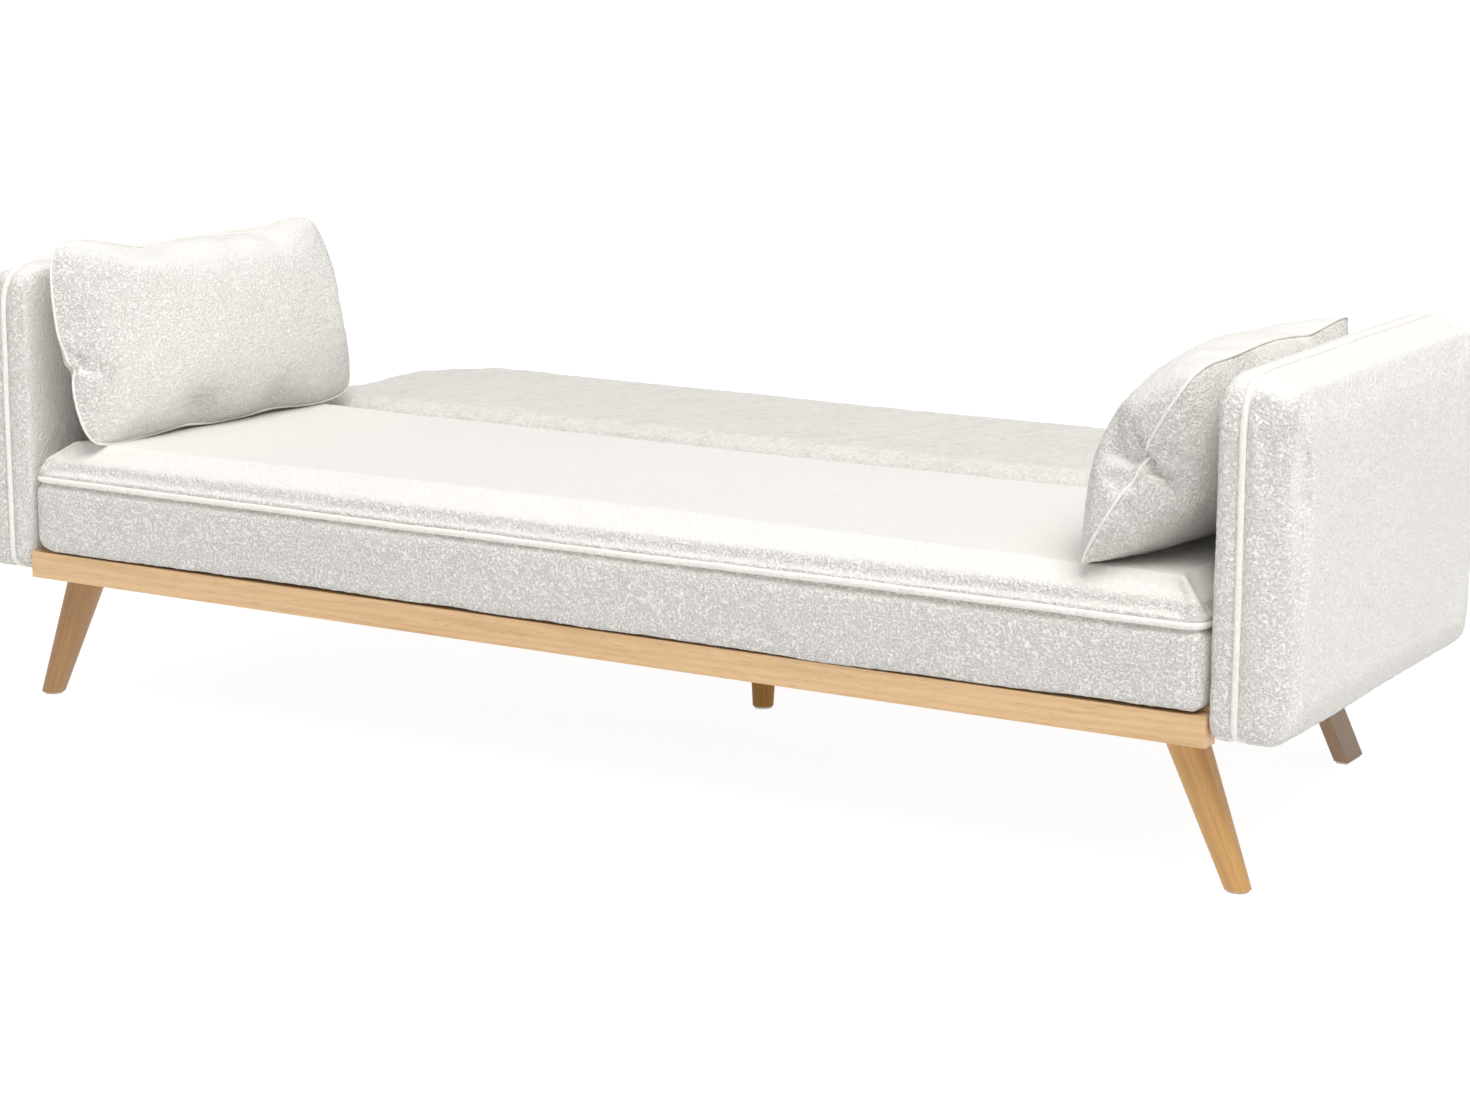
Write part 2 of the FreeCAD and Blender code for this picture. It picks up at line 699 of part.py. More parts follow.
def make_seat_plate():
    """The seat's hinge plate with its pivot pin, stop pin and screws."""
    x0 = seat_plate_x
    x1 = x0 + hinge_plate_thickness
    foot_low = rail_mid_z - seat_plate_foot_height / 2.0
    foot_high = rail_mid_z + seat_plate_foot_height / 2.0
    foot = block(x0, x1, frame_rear_y - seat_plate_foot_length, frame_rear_y, foot_low, foot_high)
    half = seat_plate_riser / 2.0
    riser = block(x0, x1, pivot_y - half, pivot_y + half, foot_low, pivot_z)
    hub = rod(seat_plate_hub_radius, (x0, pivot_y, pivot_z), (x1, pivot_y, pivot_z))
    pawl_y, pawl_z = pawl_pin_spot()
    stop_y, stop_z = stop_pin_spot()
    pad = plate_bar(x0, x1, (pawl_y, pawl_z), (stop_y, stop_z), pawl_web_width)
    stop_pad = rod(pawl_web_width / 2.0, (x0, stop_y, stop_z), (x1, stop_y, stop_z))
    pin_line = rod(hinge_pin_radius, (x0, pivot_y, pivot_z), (x1, pivot_y, pivot_z))
    pawl_line = rod(pawl_pin_radius, (x0, pawl_y, pawl_z), (x1, pawl_y, pawl_z))
    stop_line = rod(stop_pin_radius, (x0, stop_y, stop_z), (x1, stop_y, stop_z))
    cuts = [pin_line, pawl_line, stop_line]
    cuts += seat_shanks()
    add_pair("hinge_seat_plate", without(joined([foot, riser, hub, pad, stop_pad]), cuts))

    head_end = x1 + rivet_head_height
    pin = rod(hinge_pin_radius, (back_plate_x, pivot_y, pivot_z), (x1, pivot_y, pivot_z))
    head = rod(hinge_pin_head_radius, (x1, pivot_y, pivot_z), (head_end, pivot_y, pivot_z))
    add("hinge_pins", both_ends([joined([pin, head])]))
    spring_end = x1 + spring_height
    pawl_pin = rod(pawl_pin_radius, (back_plate_x, pawl_y, pawl_z), (spring_end, pawl_y, pawl_z))
    add("pawl_pins", both_ends([pawl_pin]))
    coil_start = (x1, pawl_y, pawl_z)
    coil = tube(pawl_pin_radius + spring_wire, pawl_pin_radius, coil_start, (spring_end, pawl_y, pawl_z))
    add("pawl_springs", both_ends([coil]))
    stop = rod(stop_pin_radius, (back_plate_x, stop_y, stop_z), (x1, stop_y, stop_z))
    add("stop_pins", both_ends([stop]))
    screws = [wood_screw(x1, y, rail_mid_z, seat_screw_length) for y in seat_screw_places()]
    add("hinge_seat_screws", both_ends(screws))


def make_pawl():
    """The pawl: a hub on its pin, a bar along the rim, and a tooth that points at the pivot."""
    x0 = back_plate_x
    x1 = x0 + hinge_plate_thickness
    hub_spot = pawl_pin_spot()
    bar_end = around_pivot(pawl_angle, pawl_bar_reach)
    tip = around_pivot(pawl_angle, pawl_tip_reach)
    hub = rod(pawl_hub_radius, (x0,) + hub_spot, (x1,) + hub_spot)
    bar = plate_bar(x0, x1, hub_spot, bar_end, pawl_bar_width)
    end = rod(pawl_bar_width / 2.0, (x0,) + bar_end, (x1,) + bar_end)
    tooth = plate_bar(x0, x1, tip, bar_end, pawl_tooth_width)
    hole_radius = pawl_pin_radius + pawl_pin_clearance
    hole = rod(hole_radius, (x0 - cut_overrun,) + hub_spot, (x1 + cut_overrun,) + hub_spot)
    add_pair("ratchet_pawl", joined([hub, bar, end, tooth]).cut(hole))


# ---- pillows ----
def lens_prism(width, length, middle, edge):
    """A bar of lens section: width along X, thickness along Y, length along Z, about the origin."""
    hw = width / 2.0
    hm = middle / 2.0
    he = edge / 2.0
    right = FreeCAD.Vector(hw, he, 0)
    left = FreeCAD.Vector(-hw, he, 0)
    under_left = FreeCAD.Vector(-hw, -he, 0)
    under_right = FreeCAD.Vector(hw, -he, 0)
    edges = [Part.Arc(right, FreeCAD.Vector(0, hm, 0), left).toShape()]
    edges.append(Part.LineSegment(left, under_left).toShape())
    edges.append(Part.Arc(under_left, FreeCAD.Vector(0, -hm, 0), under_right).toShape())
    edges.append(Part.LineSegment(under_right, right).toShape())
    prism = Part.Face(Part.Wire(edges)).extrude(FreeCAD.Vector(0, 0, length))
    prism.translate(FreeCAD.Vector(0, 0, -length / 2.0))
    return prism


def pillow_solid(middle):
    """A pillow standing up at the origin: thin along X, long along Y, high along Z."""
    long_way = lens_prism(pillow_length, pillow_height, middle, pillow_edge)
    long_way.rotate(ORIGIN, Z_AXIS, 90)
    high_way = lens_prism(pillow_height, pillow_length, middle, pillow_edge)
    high_way.rotate(ORIGIN, X_AXIS, 90)
    high_way.rotate(ORIGIN, Y_AXIS, 90)
    return long_way.common(high_way)


def make_pillow(name, side, middle, lean, yaw):
    """A pillow on the seat, leaning on the arm on the given side (1 right, -1 left)."""
    pillow = pillow_solid(middle)
    pillow.rotate(ORIGIN, Y_AXIS, side * lean)
    pillow.rotate(ORIGIN, Z_AXIS, yaw)
    box = pillow.optimalBoundingBox(False, False)
    if side > 0:
        shift_x = arm_inner_x - pillow_arm_gap - box.XMax
    else:
        shift_x = -arm_inner_x + pillow_arm_gap - box.XMin
    shift_y = front_y + pillow_front_gap - box.YMin
    shift_z = seat_height + pillow_seat_gap - box.ZMin
    pillow.translate(FreeCAD.Vector(shift_x, shift_y, shift_z))
    add(name, pillow)


make_seat_frame()
make_dust_cover()
make_legs()
make_seat_pad()
make_arms()
make_back()
make_back_plate()
make_seat_plate()
make_pawl()
make_pillow("pillow_left", -1, left_pillow_middle, left_pillow_lean, left_pillow_yaw)
make_pillow("pillow_right", 1, right_pillow_middle, right_pillow_lean, right_pillow_yaw)

os.makedirs("parts", exist_ok=True)
for node, shape in pieces.items():
    shape.exportStep("parts/" + node + ".step")
print(len(pieces), "nodes")
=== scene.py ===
import logging
import math
from dataclasses import dataclass
from enum import Enum
from typing import Callable, Sequence

import bmesh
import bpy
import numpy as np
from mathutils import Matrix, Vector, noise
from mathutils.bvhtree import BVHTree


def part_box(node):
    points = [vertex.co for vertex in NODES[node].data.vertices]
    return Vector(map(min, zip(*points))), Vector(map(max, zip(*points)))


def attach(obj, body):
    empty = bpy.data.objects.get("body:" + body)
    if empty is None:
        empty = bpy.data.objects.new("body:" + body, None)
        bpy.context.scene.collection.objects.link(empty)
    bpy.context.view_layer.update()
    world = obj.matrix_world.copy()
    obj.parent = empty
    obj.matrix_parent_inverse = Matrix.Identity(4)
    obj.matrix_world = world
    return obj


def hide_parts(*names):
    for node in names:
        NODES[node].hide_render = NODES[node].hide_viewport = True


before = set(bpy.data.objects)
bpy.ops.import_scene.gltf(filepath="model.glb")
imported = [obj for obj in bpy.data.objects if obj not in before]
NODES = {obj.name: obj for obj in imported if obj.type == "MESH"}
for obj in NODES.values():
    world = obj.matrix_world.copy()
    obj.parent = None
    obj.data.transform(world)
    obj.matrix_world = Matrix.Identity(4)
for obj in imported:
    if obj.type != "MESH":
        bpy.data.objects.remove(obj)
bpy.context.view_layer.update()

# Looks of a click-clack daybed, lying flat as a bed.  Metres, +Z up, +X along the length, +Y to the back.

LOG = logging.getLogger("daybed")
Points = np.ndarray
Colour = tuple[float, float, float]
Wave = tuple[float, float, float]   # distance between bumps, height, pattern

WELT_STEP = 0.006    # distance between the points of a welt's line
WELT_TUFT = 0.004    # distance between a welt's tufts
STAND_OFF = 0.55     # share of a welt's radius by which its middle stands off the pad
LOOK_FROM = 0.03     # how far outside a pad its welt's place is looked for
NEAR = 1e-4          # how closely an edge must lie on a side to count as on it


# ---- shader writing ----
class Wire:
    """One socket of a shader, which takes part in Python arithmetic."""

    def __init__(self, shader: "Shader", socket: bpy.types.NodeSocket) -> None:
        """Keeps the socket and the shader that it belongs to."""
        self.shader = shader
        self.socket = socket

    def maths(self, operation: str, *values: "Wire | float") -> "Wire":
        """Adds one Math node.

        Args:
            operation: the Math node's operation.
            values: its inputs, in order.

        Returns:
            The node's result.
        """
        return self.shader.node("ShaderNodeMath", {"operation": operation}, dict(enumerate(values)))

    def __add__(self, other: "Wire | float") -> "Wire":
        """self + other."""
        return self.maths("ADD", self, other)

    __radd__ = __add__

    def __sub__(self, other: "Wire | float") -> "Wire":
        """self - other."""
        return self.maths("SUBTRACT", self, other)

    def __rsub__(self, other: float) -> "Wire":
        """other - self."""
        return self.maths("SUBTRACT", other, self)

    def __mul__(self, other: "Wire | float") -> "Wire":
        """self * other."""
        return self.maths("MULTIPLY", self, other)

    __rmul__ = __mul__

    def __abs__(self) -> "Wire":
        """The size of self, without its sign."""
        return self.maths("ABSOLUTE", self)

    def ramp(self, low: float, high: float) -> "Wire":
        """Runs from 0 at low to 1 at high, smoothly.

        Args:
            low: where the result is 0.
            high: where the result is 1.

        Returns:
            The smooth step.
        """
        settings = {"interpolation_type": "SMOOTHSTEP"}
        inputs = {"Value": self, "From Min": low, "From Max": high}
        return self.shader.node("ShaderNodeMapRange", settings, inputs)


class Shader:
    """One material's node tree."""

    def __init__(self, name: str) -> None:
        """Starts an empty material of that name."""
        self.material = bpy.data.materials.new(name)
        self.material.use_nodes = True
        self.tree = self.material.node_tree
        self.tree.nodes.clear()

    def node(self, kind: str, settings: dict | None = None, inputs: dict | None = None,
             output: int | str = 0) -> Wire:
        """Adds a node.

        Args:
            kind: the node's type.
            settings: properties, set before the inputs.
            inputs: value or Wire for each input socket, by name or number.
            output: which output to return.

        Returns:
            The chosen output.
        """
        made = self.tree.nodes.new(kind)
        for name, value in (settings or {}).items():
            setattr(made, name, value)
        for name, value in (inputs or {}).items():
            socket = made.inputs[name]
            if isinstance(value, Wire):
                self.tree.links.new(value.socket, socket)
            elif socket.type == "RGBA":
                socket.default_value = (*value, 1.0)
            else:
                socket.default_value = value
        return Wire(self, made.outputs[output])

    def facing(self, axis: str) -> Wire:
        """How far the surface faces along an axis, from -1 to 1.

        Args:
            axis: X, Y or Z.

        Returns:
            That part of the surface's normal.
        """
        normal = self.node("ShaderNodeNewGeometry", output="Normal")
        return self.node("ShaderNodeSeparateXYZ", None, {0: normal}, output=axis)

    def place(self, stretch: tuple[float, float, float] = (1.0, 1.0, 1.0),
              turn: tuple[float, float, float] = (0.0, 0.0, 0.0)) -> Wire:
        """The surface point in metres, turned and then stretched.

        Args:
            stretch: factor along each axis after the turn.
            turn: turn about X, Y and Z, in degrees.

        Returns:
            The point as a vector.
        """
        point = self.node("ShaderNodeTexCoord", output="Object")
        angles = tuple(math.radians(angle) for angle in turn)
        inputs = {"Vector": point, "Rotation": angles}
        point = self.node("ShaderNodeMapping", {"vector_type": "POINT"}, inputs)
        return self.node("ShaderNodeVectorMath", {"operation": "MULTIPLY"}, {0: point, 1: stretch})

    def cloud(self, place: Wire, scale: float, detail: float = 2.0, rough: float = 0.5) -> Wire:
        """Soft noise from 0 to 1.

        Args:
            place: where it is read.
            scale: how many bumps to the metre, about.
            detail: number of finer layers.
            rough: strength of the finer layers.

        Returns:
            The noise.
        """
        inputs = {"Vector": place, "Scale": scale, "Detail": detail, "Roughness": rough}
        return self.node("ShaderNodeTexNoise", None, inputs)

    def cells(self, place: Wire, scale: float) -> Wire:
        """Distance within random cells.

        Args:
            place: where it is read.
            scale: how many cells to the metre.

        Returns:
            The distance, about 0 to 1.
        """
        return self.node("ShaderNodeTexVoronoi", {"feature": "F1"}, {"Vector": place, "Scale": scale})

    def blend(self, share: Wire | float, first: Wire | Colour, second: Wire | Colour) -> Wire:
        """Mixes two colours.

        Args:
            share: 0 for the first, 1 for the second.
            first: one colour.
            second: the other colour.

        Returns:
            The mixed colour.
        """
        settings = {"data_type": "RGBA", "blend_type": "MIX"}
        return self.node("ShaderNodeMix", settings, {0: share, 6: first, 7: second}, output=2)

    def bump(self, height: Wire, depth: float, strength: float = 1.0) -> Wire:
        """Turns a height into a normal.

        Args:
            height: 0 to 1.
            depth: how high a step from 0 to 1 stands, in metres.
            strength: share of the effect.

        Returns:
            The normal.
        """
        inputs = {"Height": height, "Distance": depth, "Strength": strength}
        return self.node("ShaderNodeBump", None, inputs)

    def finish(self, **inputs: "Wire | float | Colour") -> bpy.types.Material:
        """Closes the material with a Principled surface.

        Args:
            inputs: its sockets, with underscores for spaces.

        Returns:
            The material.
        """
        named = {name.replace("_", " "): value for name, value in inputs.items()}
        surface = self.node("ShaderNodeBsdfPrincipled", None, named)
        output = self.tree.nodes.new("ShaderNodeOutputMaterial")
        self.tree.links.new(surface.socket, output.inputs["Surface"])
        return self.material


# ---- finishes ----
@dataclass(frozen=True)
class Boucle:
    """A curly pile: fine tufts and loose clumps, with painted shade in the hollows between the tufts; the
    painted shade and the relief are weaker where it faces up or to the ends, so that those faces look
    brightly lit.
    """

    name: str
    pale: Colour = (0.905, 0.88, 0.84)
    # shade: the colour of the painted shade between the tufts; the faint random blotches use it too
    shade: Colour = (0.70, 0.67, 0.615)
    tuft_scale: float = 290.0
    depth: float = 0.0044
    stretch: tuple[float, float, float] = (1.0, 1.0, 1.0)
    turn: tuple[float, float, float] = (0.0, 0.0, 0.0)
    # flat_share and side_share: how much of the painted shade and the relief stays on faces that look up or
    # to the ends; those faces come out lighter, as if lit more strongly
    flat_share: float = 0.22
    side_share: float = 0.60
    upward_range: tuple[float, float] = (0.30, 0.92)
    sideways_range: tuple[float, float] = (0.72, 0.97)

    def make(self) -> bpy.types.Material:
        """Builds the material."""
        s = Shader(self.name)
        place = s.place(self.stretch, self.turn)
        # painted light: faces that look up or to the ends get less painted shade, so they read as the
        # brightly lit faces
        upward = s.facing("Z").ramp(*self.upward_range)
        sideways = abs(s.facing("X")).ramp(*self.sideways_range)
        shade_and_relief_by_facing = (1.0 - upward * (1.0 - self.flat_share)) * (1.0 - sideways * (1.0 - self.side_share))
        fine_noise = s.cloud(place, self.tuft_scale, 3.0, 0.65)
        curls = s.cells(place, self.tuft_scale * 0.8)
        clumps = s.cloud(place, self.tuft_scale * 0.16, 3.0, 0.6)
        wear = s.cloud(place, 3.5, 2.0)
        # painted shade: gaps and the clump term darken the colour in the hollows between tufts, as shade
        # would; gaps also sets the relief
        gaps = fine_noise.ramp(0.38, 0.74) * 0.55 + (curls.ramp(0.35, 0.90) * 0.20)
        shade = gaps * (0.55 + clumps.ramp(0.30, 0.70) * 0.45) + clumps.ramp(0.45, 0.80) * 0.12
        # the painted shade is mixed into the pile's own pale colour here
        colour = s.blend(shade * shade_and_relief_by_facing, self.pale, self.shade)
        colour = s.blend(wear.ramp(0.35, 0.75) * 0.06, colour, self.shade)
        height = clumps * 0.5 - gaps * 0.9
        normal = s.bump(height * shade_and_relief_by_facing, self.depth)
        rough = 0.88 + fine_noise * 0.10
        return s.finish(Base_Color=colour, Roughness=rough, Normal=normal, Sheen_Weight=0.25,
                        Sheen_Roughness=0.55, Sheen_Tint=(1.0, 0.99, 0.97), Specular_IOR_Level=0.12)


@dataclass(frozen=True)
class Timber:
    """Lacquered or bare wood, with its grain along one axis of a turned frame."""

    name: str
    pale: Colour
    dark: Colour
    turn: tuple[float, float, float] = (0.0, 0.0, 0.0)
    ring: float = 26.0
    stretch: float = 0.07
    rough: float = 0.42
    coat: float = 0.25
    pores: float = 0.35

    def make(self) -> bpy.types.Material:
        """Builds the material."""
        s = Shader(self.name)
        place = s.place((self.stretch, 1.0, 1.0), self.turn)
        sweep = s.cloud(place, self.ring, 3.0, 0.55)
        bands = s.node("ShaderNodeTexWave", {"wave_type": "BANDS", "bands_direction": "Z"},
                       {"Vector": place, "Scale": self.ring, "Distortion": 9.0, "Detail": 2.0,
                        "Detail Scale": 1.2, "Detail Roughness": 0.6}, output="Fac")
        streaks = s.cloud(s.place((self.stretch * 0.45, 1.0, 1.0), self.turn), 420.0, 3.0, 0.65)
        fine_noise = s.cloud(s.place((self.stretch * 0.9, 1.0, 1.0), self.turn), 900.0, 1.0)
        grain = bands * 0.16 + sweep * 0.45 + streaks * 0.42
        colour = s.blend(grain.ramp(0.28, 0.85), self.pale, self.dark)
        pores = fine_noise.ramp(0.60, 0.72) * self.pores
        deep = tuple(channel * 0.62 for channel in self.dark)
        colour = s.blend(pores, colour, deep)
        height = 1.0 - (pores + streaks * 0.4)
        normal = s.bump(height, 0.00035, 0.8)
        rough = self.rough + streaks * 0.14
        return s.finish(Base_Color=colour, Roughness=rough, Normal=normal, Coat_Weight=self.coat,
                        Coat_Roughness=0.28)


@dataclass(frozen=True)
class SheetPly:
    """Plywood: rotary-cut faces with thin plies on the edges."""

    name: str
    pale: Colour = (0.62, 0.46, 0.28)
    dark: Colour = (0.40, 0.26, 0.14)

    def make(self) -> bpy.types.Material:
        """Builds the material."""
        s = Shader(self.name)
        place = s.place()
        plies = s.node("ShaderNodeTexWave", {"wave_type": "BANDS", "bands_direction": "X"},
                       {"Vector": place, "Scale": 110.0, "Distortion": 0.6}, output="Fac")
        figure = s.cloud(s.place((1.0, 0.12, 1.0)), 34.0, 4.0, 0.6)
        colour = s.blend(plies * 0.35 + figure * 0.65, self.pale, self.dark)
        return s.finish(Base_Color=colour, Roughness=0.6 + figure * 0.2, Normal=s.bump(figure, 0.0003))


@dataclass(frozen=True)
class Plaited:
    """A fabric of crossing threads: spun lining, webbing or felt."""

    name: str
    pale: Colour
    dark: Colour
    threads: float = 700.0
    rough: float = 0.8
    depth: float = 0.0004

    def make(self) -> bpy.types.Material:
        """Builds the material."""
        s = Shader(self.name)
        place = s.place()
        waves = []
        for direction in ("X", "Y"):
            settings = {"wave_type": "BANDS", "bands_direction": direction}
            inputs = {"Vector": place, "Scale": self.threads / 6.3, "Distortion": 0.8}
            waves.append(s.node("ShaderNodeTexWave", settings, inputs, output="Fac"))
        fluff = s.cloud(place, self.threads * 1.6, 3.0, 0.7)
        weave = waves[0] * 0.35 + waves[1] * 0.35 + fluff * 0.4
        colour = s.blend(weave.ramp(0.15, 0.95), self.dark, self.pale)
        rough = self.rough + fluff * 0.12
        return s.finish(Base_Color=colour, Roughness=rough, Normal=s.bump(weave, self.depth))


@dataclass(frozen=True)
class Plating:
    """A metal surface: zinc plate, or black powder coat when it isn't metallic."""

    name: str
    pale: Colour
    dark: Colour
    metallic: float
    rough: float
    speckle: float = 1400.0
    depth: float = 0.0001

    def make(self) -> bpy.types.Material:
        """Builds the material."""
        s = Shader(self.name)
        place = s.place()
        grit = s.cloud(place, self.speckle, 2.0, 0.6)
        stain = s.cloud(place, 42.0, 4.0, 0.6)
        colour = s.blend(stain.ramp(0.3, 0.75), self.pale, self.dark)
        rough = self.rough + stain * 0.16 + grit * 0.06
        return s.finish(Base_Color=colour, Roughness=rough, Metallic=self.metallic,
                        Normal=s.bump(grit, self.depth))


@dataclass(frozen=True)
class FloorPaint:
    """The pale studio floor, lit a little from within so that shadows stay light."""

    name: str = "studio_floor"
    colour: Colour = (0.22, 0.22, 0.22)
    stain: Colour = (0.20, 0.20, 0.20)
    glow: float = 0.93

    def make(self) -> bpy.types.Material:
        """Builds the material."""
        s = Shader(self.name)
        faint = s.cloud(s.place(), 1.5, 2.0)
        colour = s.blend(faint * 0.1, self.colour, self.stain)
        return s.finish(Base_Color=colour, Roughness=0.9, Specular_IOR_Level=0.0,
                        Emission_Color=(1.0, 1.0, 1.0), Emission_Strength=self.glow)


# ---- mesh work ----
def points_of(mesh: bpy.types.Mesh) -> Points:
    """The mesh's vertices as an n by 3 array."""
    found = np.empty(len(mesh.vertices) * 3, np.float64)
    mesh.vertices.foreach_get("co", found)
    return found.reshape(-1, 3)


def put_points(mesh: bpy.types.Mesh, points: Points) -> None:
    """Moves the mesh's vertices to these points."""
    mesh.vertices.foreach_set("co", points.astype(np.float32).ravel())
    mesh.update()


def normals_of(mesh: bpy.types.Mesh) -> Points:
    """The mesh's vertex normals as an n by 3 array."""
    found = np.empty(len(mesh.vertices) * 3, np.float32)
    mesh.vertex_normals.foreach_get("vector", found)
    return found.reshape(-1, 3).astype(np.float64)


def smooth_step(values: Points, low: float, high: float) -> Points:
    """0 below low, 1 above high, smooth between."""
    share = np.clip((values - low) / (high - low), 0.0, 1.0)
    return share * share * (3.0 - 2.0 * share)


def waver(points: Points, size: float, shift: float = 0.0) -> Points:
    """Smooth noise at each point.

    Args:
        points: n by 3 array, in metres.
        size: distance between bumps, in metres.
        shift: picks another pattern.

    Returns:
        One value from about -1 to 1 for each point.
    """
    places = points / size + shift
    return np.array([noise.noise(Vector(place)) for place in places])


def wander(points: Points, waves: Sequence[Wave]) -> Points:
    """The sum of some wavers at each point, in metres."""
    return sum(waver(points, size, shift) * height for size, height, shift in waves)


def new_object(name: str, mesh: bpy.types.Mesh) -> bpy.types.Object:
    """Links a new object for the mesh."""
    made = bpy.data.objects.new(name, mesh)
    bpy.context.scene.collection.objects.link(made)
    return made


def settled(piece: bpy.types.Object) -> None:
    """Replaces the piece's mesh by what its modifiers make of it."""
    graph = bpy.context.evaluated_depsgraph_get()
    made = bpy.data.meshes.new_from_object(piece.evaluated_get(graph))
    piece.modifiers.clear()
    old = piece.data
    made.name = piece.name
    piece.data = made
    bpy.data.meshes.remove(old)


def shade_smooth(piece: bpy.types.Object) -> None:
    """Smooth shading on every face."""
    mesh = piece.data
    mesh.polygons.foreach_set("use_smooth", [True] * len(mesh.polygons))
    mesh.update()


EdgeTest = Callable[[Vector, Vector], bool]


def rounded_block(name: str, low: Vector, high: Vector,
                  rounds: Sequence[tuple[EdgeTest, float]]) -> bpy.types.Object:
    """A box whose edges are rounded in turn.

    Args:
        name: the object's name.
        low: its lowest corner.
        high: its highest corner.
        rounds: for each rounding, a test on an edge's middle and direction, and the radius.

    Returns:
        The new object.
    """
    box = bmesh.new()
    bmesh.ops.create_cube(box, size=1.0)
    middle = (low + high) / 2.0
    size = high - low
    for vertex in box.verts:
        vertex.co = Vector(c * s for c, s in zip(vertex.co, size)) + middle
    for test, radius in rounds:
        picked = []
        for edge in box.edges:
            a, b = (vertex.co for vertex in edge.verts)
            if test((a + b) / 2.0, (b - a).normalized()):
                picked.append(edge)
        bmesh.ops.bevel(box, geom=picked, offset=radius, offset_type="OFFSET", segments=7, profile=0.5,
                        affect="EDGES", clamp_overlap=True)
    mesh = bpy.data.meshes.new(name)
    box.to_mesh(mesh)
    box.free()
    return new_object(name, mesh)


def remeshed(piece: bpy.types.Object, voxel: float) -> None:
    """Gives the piece an even net of quads, voxel metres apart."""
    modifier = piece.modifiers.new("even", "REMESH")
    modifier.mode = "VOXEL"
    modifier.voxel_size = voxel
    settled(piece)


def refined(piece: bpy.types.Object) -> None:
    """Divides the piece's net once, smoothly."""
    modifier = piece.modifiers.new("finer", "SUBSURF")
    modifier.levels = 1
    modifier.render_levels = 1
    settled(piece)


def weigh(piece: bpy.types.Object, name: str, weights: Points) -> str:
    """Adds a vertex group with these weights, and returns its name."""
    group = piece.vertex_groups.new(name=name)
    for index, weight in enumerate(weights):
        if weight > 0.0:
            group.add([index], float(weight), "REPLACE")
    return group.name


@dataclass(frozen=True)
class Swell:
    """How a sewn cover fills out."""

    pressure: float = 4.0
    frames: int = 20
    cap: float = 0.012
    stiffness: float = 15.0
    bending: float = 0.5
    gather: float = 0.0
    mass: float = 0.2
    damping: float = 4.0
    quality: int = 4

    def run(self, piece: bpy.types.Object, held: Points, seam: Points | None = None) -> None:
        """Lets the piece's cloth swell, and keeps the result in its mesh.

        Args:
            piece: a closed mesh.
            held: how firmly each vertex is held, 0 to 1.
            seam: where the cloth is gathered, 0 to 1.
        """
        group = weigh(piece, "held", held)
        cloth = piece.modifiers.new("swell", "CLOTH")
        settings = cloth.settings
        settings.quality = self.quality
        settings.mass = self.mass
        settings.tension_stiffness = self.stiffness
        settings.compression_stiffness = self.stiffness
        settings.shear_stiffness = self.stiffness / 3.0
        settings.bending_stiffness = self.bending
        settings.air_damping = self.damping
        settings.vertex_group_mass = group
        settings.use_pressure = True
        settings.uniform_pressure_force = self.pressure
        settings.effector_weights.gravity = 0.0
        cloth.collision_settings.use_collision = False
        if seam is not None:
            settings.vertex_group_shrink = weigh(piece, "gathers", seam)
            settings.shrink_min = 0.0
            settings.shrink_max = self.gather
        cloth.point_cache.frame_start = 1
        cloth.point_cache.frame_end = self.frames
        scene = bpy.context.scene
        start = points_of(piece.data)
        for step in range(1, self.frames + 1):
            scene.frame_set(step)
        graph = bpy.context.evaluated_depsgraph_get()
        end = points_of(piece.evaluated_get(graph).data)
        piece.modifiers.remove(cloth)
        piece.vertex_groups.clear()
        scene.frame_set(1)
        way = end - start
        length = np.linalg.norm(way, axis=1, keepdims=True)
        put_points(piece.data, start + way * np.minimum(1.0, self.cap / np.maximum(length, 1e-9)))


def filled(pad: bpy.types.Object, voxel: float, swell: Swell, held: Callable[[Points], Points]) -> None:
    """Gives a blank an even net, lets it swell and divides it once.

    Args:
        pad: the blank.
        voxel: distance between the net's points before it is divided.
        swell: how it fills.
        held: says how firmly each point is held, 0 to 1.
    """
    remeshed(pad, voxel)
    swell.run(pad, held(points_of(pad.data)))
    refined(pad)


